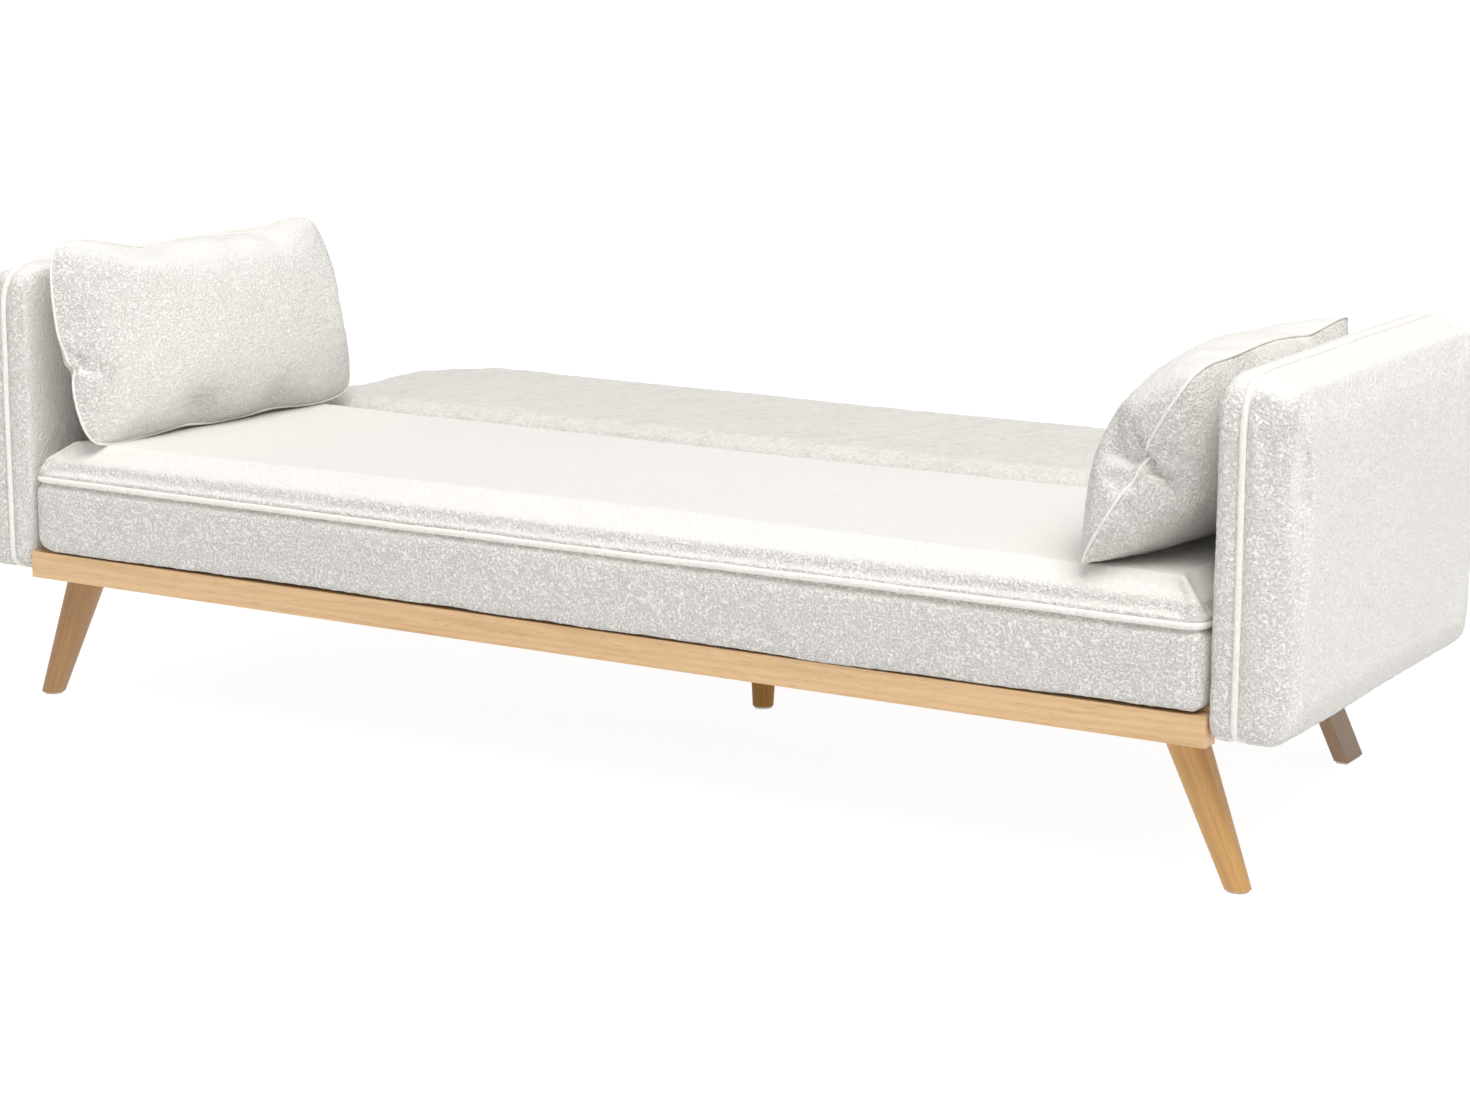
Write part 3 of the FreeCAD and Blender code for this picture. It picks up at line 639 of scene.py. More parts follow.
def tube(name: str, path: Points, radius: float, closed: bool, sides: int = 10) -> bpy.types.Object:
    """A round welt along a path.

    Args:
        name: the object's name.
        path: its points, in order.
        radius: its radius.
        closed: whether the last point joins the first.
        sides: faces around it.

    Returns:
        The new object.
    """
    count = len(path)
    ahead = np.roll(path, -1, axis=0) - np.roll(path, 1, axis=0)
    if not closed:
        ahead[0] = path[1] - path[0]
        ahead[-1] = path[-1] - path[-2]
    ahead /= np.linalg.norm(ahead, axis=1, keepdims=True)
    side = np.cross(ahead[0], [0.31, 0.77, 0.55])
    rings = []
    for point, way in zip(path, ahead):
        side = side - way * side.dot(way)
        side /= np.linalg.norm(side)
        other = np.cross(way, side)
        turns = np.arange(sides) * (2.0 * math.pi / sides)
        rings.append(point + radius * (np.cos(turns)[:, None] * side + np.sin(turns)[:, None] * other))
    vertices = np.concatenate(rings)
    faces = []
    spans = count if closed else count - 1
    shift = 0
    if closed:
        gaps = [np.linalg.norm(rings[-1][0] - rings[0][k]) for k in range(sides)]
        shift = int(np.argmin(gaps))
    for i in range(spans):
        j = (i + 1) % count
        skew = shift if j == 0 else 0
        for k in range(sides):
            n = (k + 1) % sides
            faces.append((i * sides + k, i * sides + n, j * sides + (n + skew) % sides,
                          j * sides + (k + skew) % sides))
    if not closed:
        faces.append(tuple(range(sides))[::-1])
        faces.append(tuple((count - 1) * sides + k for k in range(sides)))
    mesh = bpy.data.meshes.new(name)
    mesh.from_pydata([tuple(v) for v in vertices], [], faces)
    mesh.validate()
    return new_object(name, mesh)


def arc(centre: tuple[float, float], radius: float, start: float,
        steps: int = 10) -> list[tuple[float, float]]:
    """Points on a quarter of a circle.

    Args:
        centre: its middle.
        radius: its radius.
        start: first angle, in degrees.
        steps: number of spans.

    Returns:
        The points, ends included.
    """
    turns = [math.radians(start + 90.0 * i / steps) for i in range(steps + 1)]
    return [(centre[0] + radius * math.cos(t), centre[1] + radius * math.sin(t)) for t in turns]


def soften(path: Points, rounds: int, closed: bool = False) -> Points:
    """Evens out small steps in a path.

    Args:
        path: its points.
        rounds: how many times.
        closed: whether it joins up.

    Returns:
        The smoother points.
    """
    for _ in range(rounds):
        mean = (np.roll(path, 1, axis=0) + np.roll(path, -1, axis=0)) / 2.0
        if not closed:
            mean[0], mean[-1] = path[0], path[-1]
        path = path * 0.5 + mean * 0.5
    return path


def laid_on(pad: bpy.types.Object, path: Points, targets: Points, radius: float, closed: bool) -> Points:
    """Lays a welt's line on a pad, by looking from each of its points towards a point inside.

    Args:
        pad: the pad.
        path: the line before.
        targets: for each of its points, one inside the pad.
        radius: the welt's radius, of which about half stays in the pad.
        closed: whether the line joins up.

    Returns:
        The line on the pad's surface.
    """
    tree = BVHTree.FromObject(pad, bpy.context.evaluated_depsgraph_get())
    hits = []
    for point, target in zip(path, targets):
        way = (Vector(target) - Vector(point)).normalized()
        hit = tree.ray_cast(Vector(point) - way * LOOK_FROM, way)[0]
        if hit is not None:
            hits.append(np.array(hit - way * radius * STAND_OFF))
    return soften(np.array(hits), 3, closed)


def evenly(path: Points, step: float, closed: bool) -> Points:
    """The path with points at even steps.

    Args:
        path: its corners.
        step: distance between points.
        closed: whether it joins up.

    Returns:
        The new points.
    """
    whole = np.vstack([path, path[:1]]) if closed else path
    runs = np.linalg.norm(np.diff(whole, axis=0), axis=1)
    along = np.concatenate([[0.0], np.cumsum(runs)])
    count = max(8, int(round(along[-1] / step)))
    places = np.linspace(0.0, along[-1], count + (0 if closed else 1), endpoint=not closed)
    return np.stack([np.interp(places, along, whole[:, axis]) for axis in range(3)], axis=1)


def pile(piece: bpy.types.Object, tufts: Wave) -> None:
    """Raises a curly pile on the piece's own surface.

    Args:
        piece: the cover.
        tufts: the tufts' size, height and pattern.
    """
    size, height, shift = tufts
    points = points_of(piece.data)
    lift = waver(points, size, shift) * 0.7 + waver(points, size * 3.1, shift + 4.0) * 0.5
    put_points(piece.data, points + normals_of(piece.data) * (lift * height)[:, None])


class Dresser:
    """Makes each finish once, and dresses pieces and CAD nodes with it."""

    def __init__(self) -> None:
        """Starts with no finish made."""
        self.made: dict[str, bpy.types.Material] = {}

    def material(self, finish: "Finish") -> bpy.types.Material:
        """The finish's material, made at its first use."""
        if finish.name not in self.made:
            self.made[finish.name] = finish.make()
        return self.made[finish.name]

    def dress(self, piece: bpy.types.Object, finish: "Finish") -> None:
        """Gives the whole piece one finish."""
        piece.data.materials.clear()
        piece.data.materials.append(self.material(finish))

    def keep(self, node: str, finish: "Finish") -> None:
        """Gives a CAD node that stays visible one finish."""
        held = NODES[node]
        material = self.material(finish)
        if not held.material_slots:
            held.data.materials.append(material)
        for slot in held.material_slots:
            slot.material = material


Finish = Boucle | Timber | SheetPly | Plaited | Plating | FloorPaint


def covered(pad: bpy.types.Object, tufts: Wave, clear: Callable[[Points], Points], dresser: Dresser,
            finish: Finish) -> None:
    """Raises a pad's pile, keeps it off its neighbours and dresses it.

    Args:
        pad: the pad.
        tufts: its tufts' size, height and pattern.
        clear: moves points off the neighbours.
        dresser: makes the finish.
        finish: the cover's finish.
    """
    pile(pad, tufts)
    put_points(pad.data, clear(points_of(pad.data)))
    shade_smooth(pad)
    dresser.dress(pad, finish)


def welt_on(name: str, path: Points, radius: float, closed: bool, dresser: Dresser,
            height: float = 0.0006, sides: int = 10) -> bpy.types.Object:
    """A covered welt along a path.

    Args:
        name: the object's name.
        path: its line.
        radius: its radius.
        closed: whether it joins up.
        dresser: makes its finish.
        height: the tallest tuft.
        sides: faces around it.

    Returns:
        The new object.
    """
    welt = tube(name, path, radius, closed, sides)
    pile(welt, (WELT_TUFT, height, 0.0))
    shade_smooth(welt)
    dresser.dress(welt, Cloths.WELT)
    return welt


class Cloths:
    """The daybed's fabrics."""

    TEDDY = Boucle("teddy_boucle")
    WELT = Boucle("welt_boucle", pale=(0.93, 0.91, 0.86), shade=(0.70, 0.665, 0.60), tuft_scale=420.0,
                  depth=0.0010)
    # The back's cloth: the stretched, turned slubs are the weave's own; its darker pale and shade colours,
    # and its high flat_share that keeps the painted crevice shade on its level top, are painted shade that
    # makes the back read darker than the seat
    BACK = Boucle("slub_weave", pale=(0.83, 0.80, 0.755), shade=(0.52, 0.495, 0.45), tuft_scale=300.0,
                  depth=0.0016, stretch=(1.0, 0.22, 1.0), turn=(0.0, 0.0, 30.0), flat_share=0.9)
    LINING = Plaited("spun_lining", (0.035, 0.035, 0.037), (0.012, 0.012, 0.013))
    WEBBING = Plaited("elastic_webbing", (0.55, 0.48, 0.37), (0.32, 0.27, 0.19), threads=420.0, depth=0.0008)
    FELT = Plaited("pale_felt", (0.74, 0.72, 0.68), (0.52, 0.50, 0.46), threads=1500.0, rough=0.86)


class Woods:
    """The daybed's timbers."""

    RAIL = Timber("oak_rail", (0.75, 0.50, 0.265), (0.60, 0.365, 0.17))
    # The left front leg takes a darker copy of the right leg's oak: painted shade for the shaded left end of
    # the bed; the grain and its turn are the oak's own
    LEFT_LEG = Timber("oak_left_leg", (0.42, 0.225, 0.088), (0.31, 0.155, 0.050), turn=(0.0, 68.0, 0.0))
    RIGHT_LEG = Timber("oak_right_leg", (0.61, 0.335, 0.112), (0.44, 0.225, 0.065), turn=(0.0, 112.0, 0.0))
    PINE = Timber("planed_softwood", (0.72, 0.52, 0.30), (0.54, 0.34, 0.16), ring=18.0, rough=0.62, coat=0.0,
                  pores=0.12)
    PINE_ACROSS = Timber("planed_softwood_across", (0.72, 0.52, 0.30), (0.54, 0.34, 0.16), (0.0, 0.0, 90.0),
                         18.0, rough=0.62, coat=0.0, pores=0.12)
    BEECH = Timber("beech_slat", (0.68, 0.46, 0.28), (0.53, 0.32, 0.17), (0.0, 0.0, 90.0), 40.0, rough=0.5,
                   coat=0.1, pores=0.5)
    STAINED = Timber("amber_stained_beech", (0.34, 0.145, 0.004), (0.21, 0.085, 0.002), (0.0, 90.0, 0.0),
                     30.0, rough=0.5, coat=0.0)
    LACQUER = Timber("brown_lacquer", (0.24, 0.134, 0.052), (0.18, 0.098, 0.036), (0.0, 90.0, 0.0), 24.0,
                     rough=0.38, coat=0.2, pores=0.1)
    PLY = SheetPly("arm_plywood")


class Metals:
    """The daybed's hinge and fastener finishes."""

    ZINC = Plating("bright_zinc", (0.62, 0.63, 0.65), (0.42, 0.43, 0.46), 1.0, 0.28)
    POWDER = Plating("black_powder_coat", (0.030, 0.030, 0.032), (0.018, 0.018, 0.020), 0.0, 0.42,
                     depth=0.0002)


class Side(Enum):
    """An end of the daybed: the sign of its X."""

    LEFT = -1
    RIGHT = 1

    @property
    def word(self) -> str:
        """The end's name in node names."""
        return self.name.lower()


# ---- the seat ----
@dataclass
class SeatPad:
    """The seat: one long pad, flat on the rails, with a welt round its front and ends."""

    corner_radius: float = 0.020
    top_radius: float = 0.019
    shoulder: float = 0.010
    shoulder_reach: float = 0.065
    under_radius: float = 0.012
    left_under_radius: float = 0.052
    right_under_radius: float = 0.022
    start_inset: float = 0.0035
    welt_drop: float = 0.049
    welt_radius: float = 0.0045
    welt_groove: float = 0.0060
    groove_width: float = 0.009
    fold_drop: float = 0.007
    fold_width: float = 0.006
    fold_depth: float = 0.0034
    hem_height: float = 0.05
    hem_lift: float = 0.0012
    seam_hold: tuple[float, float] = (0.004, 0.020)
    foot_hold: tuple[float, float] = (0.010, 0.035)
    face_waves: tuple[Wave, ...] = ((0.16, 0.0022, 0.0), (0.45, 0.0028, 7.0))
    welt_waves: tuple[Wave, ...] = ((0.14, 0.0016, 2.0), (0.5, 0.0020, 5.0))
    hem_waves: tuple[Wave, ...] = ((0.11, 0.0016, 3.0),)
    tufts: Wave = (0.0085, 0.0011, 0.0)
    voxel: float = 0.009
    swell: Swell = Swell(pressure=4.0, frames=20, cap=0.012)

    def __post_init__(self) -> None:
        """Takes the seat's place from the frame."""
        self.low, self.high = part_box("seat_cover")
        self.welt_z = self.high.z - self.welt_drop

    def build(self, dresser: Dresser) -> None:
        """Makes the pad and its welt."""
        pad = self.blank()
        filled(pad, self.voxel, self.swell, self.held)
        self.shape(pad)
        path = self.welt_path(pad)
        covered(pad, self.tufts, self.clear, dresser, Cloths.TEDDY)
        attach(pad, "seat_frame")
        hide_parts("seat_cover", "seat_foam")
        welt = welt_on("seat_welt", path, self.welt_radius, False, dresser)
        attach(welt, "seat_frame")
        LOG.info("seat pad: %d faces, welt: %d faces", len(pad.data.polygons), len(welt.data.polygons))

    def blank(self) -> bpy.types.Object:
        """The pad before it swells, a little small."""
        inset = Vector((self.start_inset, self.start_inset, 0.0))
        low = self.low + inset
        high = self.high - inset - Vector((0.0, 0.0, self.start_inset))

        def under_end(m: Vector, d: Vector, x: float) -> bool:
            """Whether an edge is the lower one at that end."""
            return m.z < low.z + NEAR and abs(m.x - x) < NEAR and abs(d.y) > 0.99

        rounds = [
            (lambda m, d: abs(d.z) > 0.99, self.corner_radius),
            (lambda m, d: m.z > high.z - NEAR, self.top_radius),
            (lambda m, d: under_end(m, d, low.x), self.left_under_radius),
            (lambda m, d: under_end(m, d, high.x), self.right_under_radius),
            (lambda m, d: m.z < low.z + NEAR and abs(d.z) < 0.01, self.under_radius),
        ]
        return rounded_block("seat_pad", low, high, rounds)

    def held(self, points: Points) -> Points:
        """How firmly the cover is held: at the welt and where it is stapled underneath."""
        seam = 1.0 - smooth_step(np.abs(points[:, 2] - self.welt_z), *self.seam_hold)
        foot = 1.0 - smooth_step(points[:, 2] - self.low.z, *self.foot_hold)
        return np.maximum(seam, foot)

    def shape(self, pad: bpy.types.Object) -> None:
        """Draws the cover in at the welt and lets its faces waver."""
        points = points_of(pad.data)
        outward = normals_of(pad.data)
        drop = points[:, 2] - self.welt_z
        upright = 1.0 - smooth_step(np.abs(outward[:, 2]), 0.45, 0.9)
        groove = np.exp(-(drop / self.groove_width) ** 2) * upright
        fold = np.exp(-((drop + self.fold_drop) / self.fold_width) ** 2) * upright
        move = -self.welt_groove * groove - self.fold_depth * fold
        move += wander(points, self.face_waves)
        inside_end = smooth_step(self.high.x - np.abs(points[:, 0]), 0.0, self.shoulder_reach)
        inside_front = smooth_step(points[:, 1] - self.low.y, 0.0, self.shoulder_reach)
        above = smooth_step(drop, 0.0, 0.03)
        points[:, 2] -= self.shoulder * above * (1.0 - inside_end * inside_front)
        self.round_foot(points, -1, self.left_under_radius)
        self.round_foot(points, 1, self.right_under_radius)
        put_points(pad.data, self.clear(points + outward * move[:, None]))
        points = points_of(pad.data)
        hem = 1.0 - smooth_step(points[:, 2] - self.low.z, 0.004, self.hem_height)
        points[:, 2] += hem * (self.hem_lift + wander(points * [1.0, 0.0, 0.0], self.hem_waves))
        put_points(pad.data, points)

    def round_foot(self, points: Points, sign: int, radius: float) -> None:
        """Rounds one lower end of the pad, seen from the front.

        Args:
            points: n by 3 array, changed in place.
            sign: -1 for the left end, 1 for the right end.
            radius: of the corner.
        """
        x = radius - (self.high.x - sign * points[:, 0])
        z = radius - (points[:, 2] - self.low.z)
        reach = np.hypot(x, z)
        outside = (x > 0.0) & (z > 0.0) & (reach > radius)
        pull = 1.0 - radius / np.maximum(reach, radius)
        points[:, 0] -= np.where(outside, sign * x * pull, 0.0)
        points[:, 2] += np.where(outside, z * pull, 0.0)

    def clear(self, points: Points) -> Points:
        """Keeps the pad off the rails, the arms and the back."""
        points[:, 0] = np.clip(points[:, 0], self.low.x, self.high.x)
        points[:, 1] = np.clip(points[:, 1], self.low.y - 0.004, self.high.y)
        points[:, 2] = np.clip(points[:, 2], self.low.z + 0.0003, self.high.z + 0.002)
        return points

    def welt_path(self, pad: bpy.types.Object) -> Points:
        """The welt's line on the pad: left end, front, right end."""
        radius = self.corner_radius
        x, y = self.high.x, self.low.y
        rear = self.high.y - radius
        corners = [(-x, rear), (-x, y + radius)]
        corners += arc((-x + radius, y + radius), radius, 180.0)
        corners += arc((x - radius, y + radius), radius, 270.0)
        corners += [(x, y + radius), (x, rear)]
        path = np.array([(cx, cy, self.welt_z) for cx, cy in corners])
        path = evenly(path, WELT_STEP, closed=False)
        path[:, 2] += wander(path, self.welt_waves)
        inner_x = x - 2.0 * radius
        targets = path.copy()
        targets[:, 0] = np.clip(path[:, 0], -inner_x, inner_x)
        targets[:, 1] = np.maximum(path[:, 1], y + 2.0 * radius)
        return laid_on(pad, path, targets, self.welt_radius, closed=False)


# ---- the arms ----
@dataclass
class Arm:
    """A padded arm: a flat inner part and a domed outer part, joined at a welt."""

    side: Side
    corner_radius: float = 0.055
    under_radius: float = 0.024
    inner_edge: float = 0.014
    outer_edge: float = 0.023
    start_inset: float = 0.005
    welt_in: float = 0.035
    crown: float = 0.009
    outer_reach: float = 0.065
    welt_radius: float = 0.0042
    welt_groove: float = 0.0048
    groove_width: float = 0.007
    crown_height: float = 0.06
    seam_hold: tuple[float, float] = (0.003, 0.014)
    inner_hold: tuple[float, float] = (0.004, 0.012)
    foot_hold: tuple[float, float] = (0.006, 0.020)
    face_waves: tuple[Wave, ...] = ((0.15, 0.0016, 1.0), (0.4, 0.0024, 8.0))
    welt_waves: tuple[Wave, ...] = ((0.2, 0.0016, 4.0),)
    tufts: Wave = (0.0075, 0.0010, 11.0)
    voxel: float = 0.007
    swell: Swell = Swell(pressure=4.0, frames=20, cap=0.009)

    def __post_init__(self) -> None:
        """Takes the arm's place from the frame."""
        self.low, self.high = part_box("arm_cover_" + self.side.word)
        self.inner_x = self.low.x if self.side is Side.RIGHT else self.high.x
        self.welt_x = self.inner_x + self.side.value * self.welt_in

    def build(self, dresser: Dresser) -> None:
        """Makes the arm's cover and its welt."""
        pad = self.blank()
        filled(pad, self.voxel, self.swell, self.held)
        self.shape(pad)
        path = self.welt_path(pad)
        covered(pad, self.tufts, self.clear, dresser, Cloths.TEDDY)
        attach(pad, "seat_frame")
        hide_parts("arm_cover_" + self.side.word, "arm_foam_" + self.side.word)
        welt = welt_on("arm_welt_" + self.side.word, path, self.welt_radius, True, dresser)
        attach(welt, "seat_frame")
        LOG.info("%s arm: %d faces", self.side.word, len(pad.data.polygons))

    def blank(self) -> bpy.types.Object:
        """The arm before it swells, a little small."""
        inset = Vector((0.0, self.start_inset, self.start_inset))
        low = self.low + inset
        high = self.high - inset
        if self.side is Side.RIGHT:
            high.x -= self.start_inset
        else:
            low.x += self.start_inset
        inner, outer = (low.x, high.x) if self.side is Side.RIGHT else (high.x, low.x)
        rounds = [
            (lambda m, d: abs(d.x) > 0.99 and m.z > high.z - NEAR, self.corner_radius),
            (lambda m, d: abs(d.x) > 0.99 and m.z < low.z + NEAR, self.under_radius),
            (lambda m, d: abs(m.x - outer) < NEAR, self.outer_edge),
            (lambda m, d: abs(m.x - inner) < NEAR, self.inner_edge),
        ]
        return rounded_block("arm_pad_" + self.side.word, low, high, rounds)

    def held(self, points: Points) -> Points:
        """How firmly the cover is held: at the welt, on the inner face and underneath."""
        depth = np.abs(points[:, 0] - self.inner_x)
        seam = 1.0 - smooth_step(np.abs(points[:, 0] - self.welt_x), *self.seam_hold)
        inner = 1.0 - smooth_step(depth, *self.inner_hold)
        foot = 1.0 - smooth_step(points[:, 2] - self.low.z, *self.foot_hold)
        behind = smooth_step(depth, 0.0, self.inner_hold[0])
        return np.maximum(np.maximum(seam, foot), inner * (1.0 - 0.4 * behind))

    def shape(self, pad: bpy.types.Object) -> None:
        """Draws the cover in at the welt and lets its faces waver."""
        points = points_of(pad.data)
        outward = normals_of(pad.data)
        beyond = (points[:, 0] - self.welt_x) * self.side.value
        raised = smooth_step(points[:, 2], self.high.z - self.crown_height, self.high.z)
        points[:, 2] -= raised * self.crown * smooth_step(beyond, 0.0, self.outer_reach)
        points[:, 2] -= raised * self.crown * 0.5 * smooth_step(-beyond, 0.0, self.welt_in)
        off = points[:, 0] - self.welt_x
        rim = 1.0 - smooth_step(np.abs(outward[:, 0]), 0.5, 0.9)
        groove = np.exp(-(off / self.groove_width) ** 2) * rim
        move = -self.welt_groove * groove
        move += wander(points, self.face_waves)
        put_points(pad.data, self.clear(points + outward * move[:, None]))

    def clear(self, points: Points) -> Points:
        """Keeps the arm's inner face off the seat and back."""
        if self.side is Side.RIGHT:
            points[:, 0] = np.maximum(points[:, 0], self.low.x + 0.0003)
        else:
            points[:, 0] = np.minimum(points[:, 0], self.high.x - 0.0003)
        return points

    def welt_path(self, pad: bpy.types.Object) -> Points:
        """The welt's line all round the arm."""
        radius, under = self.corner_radius, self.under_radius
        y0, y1 = self.low.y, self.high.y
        z0, z1 = self.low.z, self.high.z
        ring = arc((y0 + under, z0 + under), under, 180.0)
        ring += arc((y1 - under, z0 + under), under, 270.0)
        ring += arc((y1 - radius, z1 - radius), radius, 0.0)
        ring += arc((y0 + radius, z1 - radius), radius, 90.0)
        path = evenly(np.array([(self.welt_x, y, z) for y, z in ring]), WELT_STEP, closed=True)
        path[:, 0] += wander(path, self.welt_waves)
        reach = 1.6 * radius
        targets = path.copy()
        targets[:, 1] = np.clip(path[:, 1], y0 + reach, y1 - reach)
        targets[:, 2] = np.clip(path[:, 2], z0 + 1.6 * under, z1 - reach)
        return laid_on(pad, path, targets, self.welt_radius, closed=True)


# ---- the back ----
@dataclass
class BackPad:
    """The back, lying level behind the seat, with round far corners."""

    far_corner: float = 0.165
    near_corner: float = 0.026
    top_edge: float = 0.024
    under_edge: float = 0.012
    start_inset: float = 0.004
    foot_hold: tuple[float, float] = (0.006, 0.030)
    face_waves: tuple[Wave, ...] = ((0.17, 0.0014, 2.0), (0.5, 0.0020, 6.0))
    tufts: Wave = (0.0080, 0.0008, 21.0)
    voxel: float = 0.009
    swell: Swell = Swell(pressure=4.0, frames=18, cap=0.008)

    def __post_init__(self) -> None:
        """Takes the back's place from the frame."""
        self.low, self.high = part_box("back_cover")

    def build(self, dresser: Dresser) -> None:
        """Makes the back's cover."""
        pad = self.blank()
        filled(pad, self.voxel, self.swell, self.held)
        points = points_of(pad.data)
        outward = normals_of(pad.data)
        move = wander(points, self.face_waves)
        put_points(pad.data, points + outward * move[:, None])
        covered(pad, self.tufts, self.clear, dresser, Cloths.BACK)
        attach(pad, "backrest")
        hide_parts("back_cover", "back_foam")
        LOG.info("back pad: %d faces", len(pad.data.polygons))

    def blank(self) -> bpy.types.Object:
        """The back before it swells, a little small."""
        inset = Vector((self.start_inset, self.start_inset, 0.0))
        low = self.low + inset
        high = self.high - inset - Vector((0.0, 0.0, self.start_inset))
        rounds = [
            (lambda m, d: abs(d.z) > 0.99 and m.y > high.y - NEAR, self.far_corner),
            (lambda m, d: abs(d.z) > 0.99 and m.y < low.y + NEAR, self.near_corner),
            (lambda m, d: m.z > high.z - NEAR, self.top_edge),
            (lambda m, d: m.z < low.z + NEAR, self.under_edge),
        ]
        return rounded_block("back_pad", low, high, rounds)

    def held(self, points: Points) -> Points:
        """How firmly the cover is held: where it is stapled underneath."""
        return 1.0 - smooth_step(points[:, 2] - self.low.z, *self.foot_hold)

    def clear(self, points: Points) -> Points:
        """Keeps the back off the seat, the hinge plates and the lining."""
        points[:, 0] = np.clip(points[:, 0], self.low.x, self.high.x)
        points[:, 1] = np.maximum(points[:, 1], self.low.y)
        points[:, 2] = np.clip(points[:, 2], self.low.z + 0.0003, self.high.z + 0.002)
        return points


# ---- the pillows ----
@dataclass
class Pillow:
    """A knife-edge pillow of two sewn panels, leaning on an arm."""

    side: Side
    lean: float
    yaw: float
    thickness: float
    cut: tuple[float, float] = (0.586, 0.298)
    bow: tuple[float, float] = (0.028, 0.033)
    blunt: float = 0.035
    face: tuple[float, float] = (0.572, 0.292)
    mesh_step: float = 0.0062
    seam_radius: float = 0.0020
    seam_tuft: float = 0.0005
    seam_step: float = 0.005
    tufts: Wave = (0.0080, 0.0010, 31.0)
    creases: Wave = (0.035, 0.0012, 12.0)
    start_bulge: tuple[float, float] = (0.002, 0.030)
    end_gather: tuple[float, float] = (0.020, 1.0)
    long_gather: tuple[float, float] = (0.012, 0.15)
    calm_span: tuple[float, float] = (0.62, 0.94)
    calm_rounds: tuple[int, int] = (60, 24)
    swell: Swell = Swell(pressure=7.0, frames=30, cap=0.12, stiffness=22.0, bending=0.35, gather=0.022)
    shift: float = 0.0

    def __post_init__(self) -> None:
        """Takes the pillow's place from the frame."""
        self.name = "pillow_" + self.side.word
        self.low, self.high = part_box(self.name)

    def build(self, dresser: Dresser) -> None:
        """Makes the pillow and the seam welt round it."""
        pad, rim = self.panels()
        self.swell.run(pad, np.zeros(len(pad.data.vertices)), self.gathers(pad))
        self.calm(pad, rim)
        self.fit(pad)
        self.lay(pad)
        edge = points_of(pad.data)[rim]
        refined(pad)
        size, height, pattern = self.tufts
        covered(pad, (size, height, pattern + self.shift), self.clear, dresser, Cloths.TEDDY)
        body = self.side.word + "_pillow"
        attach(pad, body)
        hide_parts(self.name)
        path = evenly(soften(edge, 2, closed=True), self.seam_step, closed=True)
        path = self.clear(path, self.seam_radius)
        seam = welt_on("pillow_seam_" + self.side.word, path, self.seam_radius, True, dresser,
                       self.seam_tuft, sides=8)
        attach(seam, body)
        LOG.info("%s pillow: %d faces", self.side.word, len(pad.data.polygons))

    def panels(self) -> tuple[bpy.types.Object, list[int]]:
        """Two flat panels sewn at the rim, standing up at the origin.

        Returns:
            The object, and the rim's vertices in order.
        """
        length, height = self.cut
        least, more = self.start_bulge
        across = int(round(length / self.mesh_step))
        up = int(round(height / self.mesh_step))
        vertices: list[tuple[float, float, float]] = []
        index: dict[tuple[int, int, int], int] = {}
        for face in (1, -1):
            for i in range(across + 1):
                for j in range(up + 1):
                    on_rim = i in (0, across) or j in (0, up)
                    if on_rim and face < 0:
                        index[(face, i, j)] = index[(1, i, j)]
                        continue
                    u, v = 2.0 * i / across - 1.0, 2.0 * j / up - 1.0
                    bulge = 0.0 if on_rim else more * (1.0 - u ** 4) * (1.0 - v ** 4) + least
                    index[(face, i, j)] = len(vertices)
                    tip = 1.0 - self.blunt * (u * v) ** 8
                    y = u * tip * (length / 2.0 + self.bow[0] * (1.0 - v * v))
                    z = v * tip * (height / 2.0 + self.bow[1] * (1.0 - u * u))
                    vertices.append((face * bulge, y, z))
        faces = []
        for face in (1, -1):
            for i in range(across):
                for j in range(up):
                    quad = [index[(face, i, j)], index[(face, i + 1, j)],
                            index[(face, i + 1, j + 1)], index[(face, i, j + 1)]]
                    faces.append(quad if face > 0 else quad[::-1])
        rim = [index[(1, i, 0)] for i in range(across)] + [index[(1, across, j)] for j in range(up)]
        rim += [index[(1, i, up)] for i in range(across, 0, -1)]
        rim += [index[(1, 0, j)] for j in range(up, 0, -1)]
        mesh = bpy.data.meshes.new("pillow_pad_" + self.side.word)
        mesh.from_pydata(vertices, [], faces)
        mesh.update()
        piece = new_object("pillow_pad_" + self.side.word, mesh)
        points = points_of(mesh)
        size, depth, pattern = self.creases
        points[:, 0] += wander(points, [(size, depth, pattern + self.shift)])
        put_points(mesh, points)
        return piece, rim

    def gathers(self, pad: bpy.types.Object) -> Points:
        """Where the panels are gathered: at the rim, most at the short ends."""
        points = points_of(pad.data)
        u = points[:, 1] * 2.0 / self.cut[0]
        v = points[:, 2] * 2.0 / self.cut[1]
        to_end = self.cut[0] / 2.0 + self.bow[0] * (1.0 - v * v) - np.abs(points[:, 1])
        to_side = self.cut[1] / 2.0 + self.bow[1] * (1.0 - u * u) - np.abs(points[:, 2])
        reaches = ((to_end, *self.end_gather), (to_side, *self.long_gather))
        ends, sides = ((1.0 - smooth_step(to, 0.0, width)) * share for to, width, share in reaches)
        return np.maximum(ends, sides)

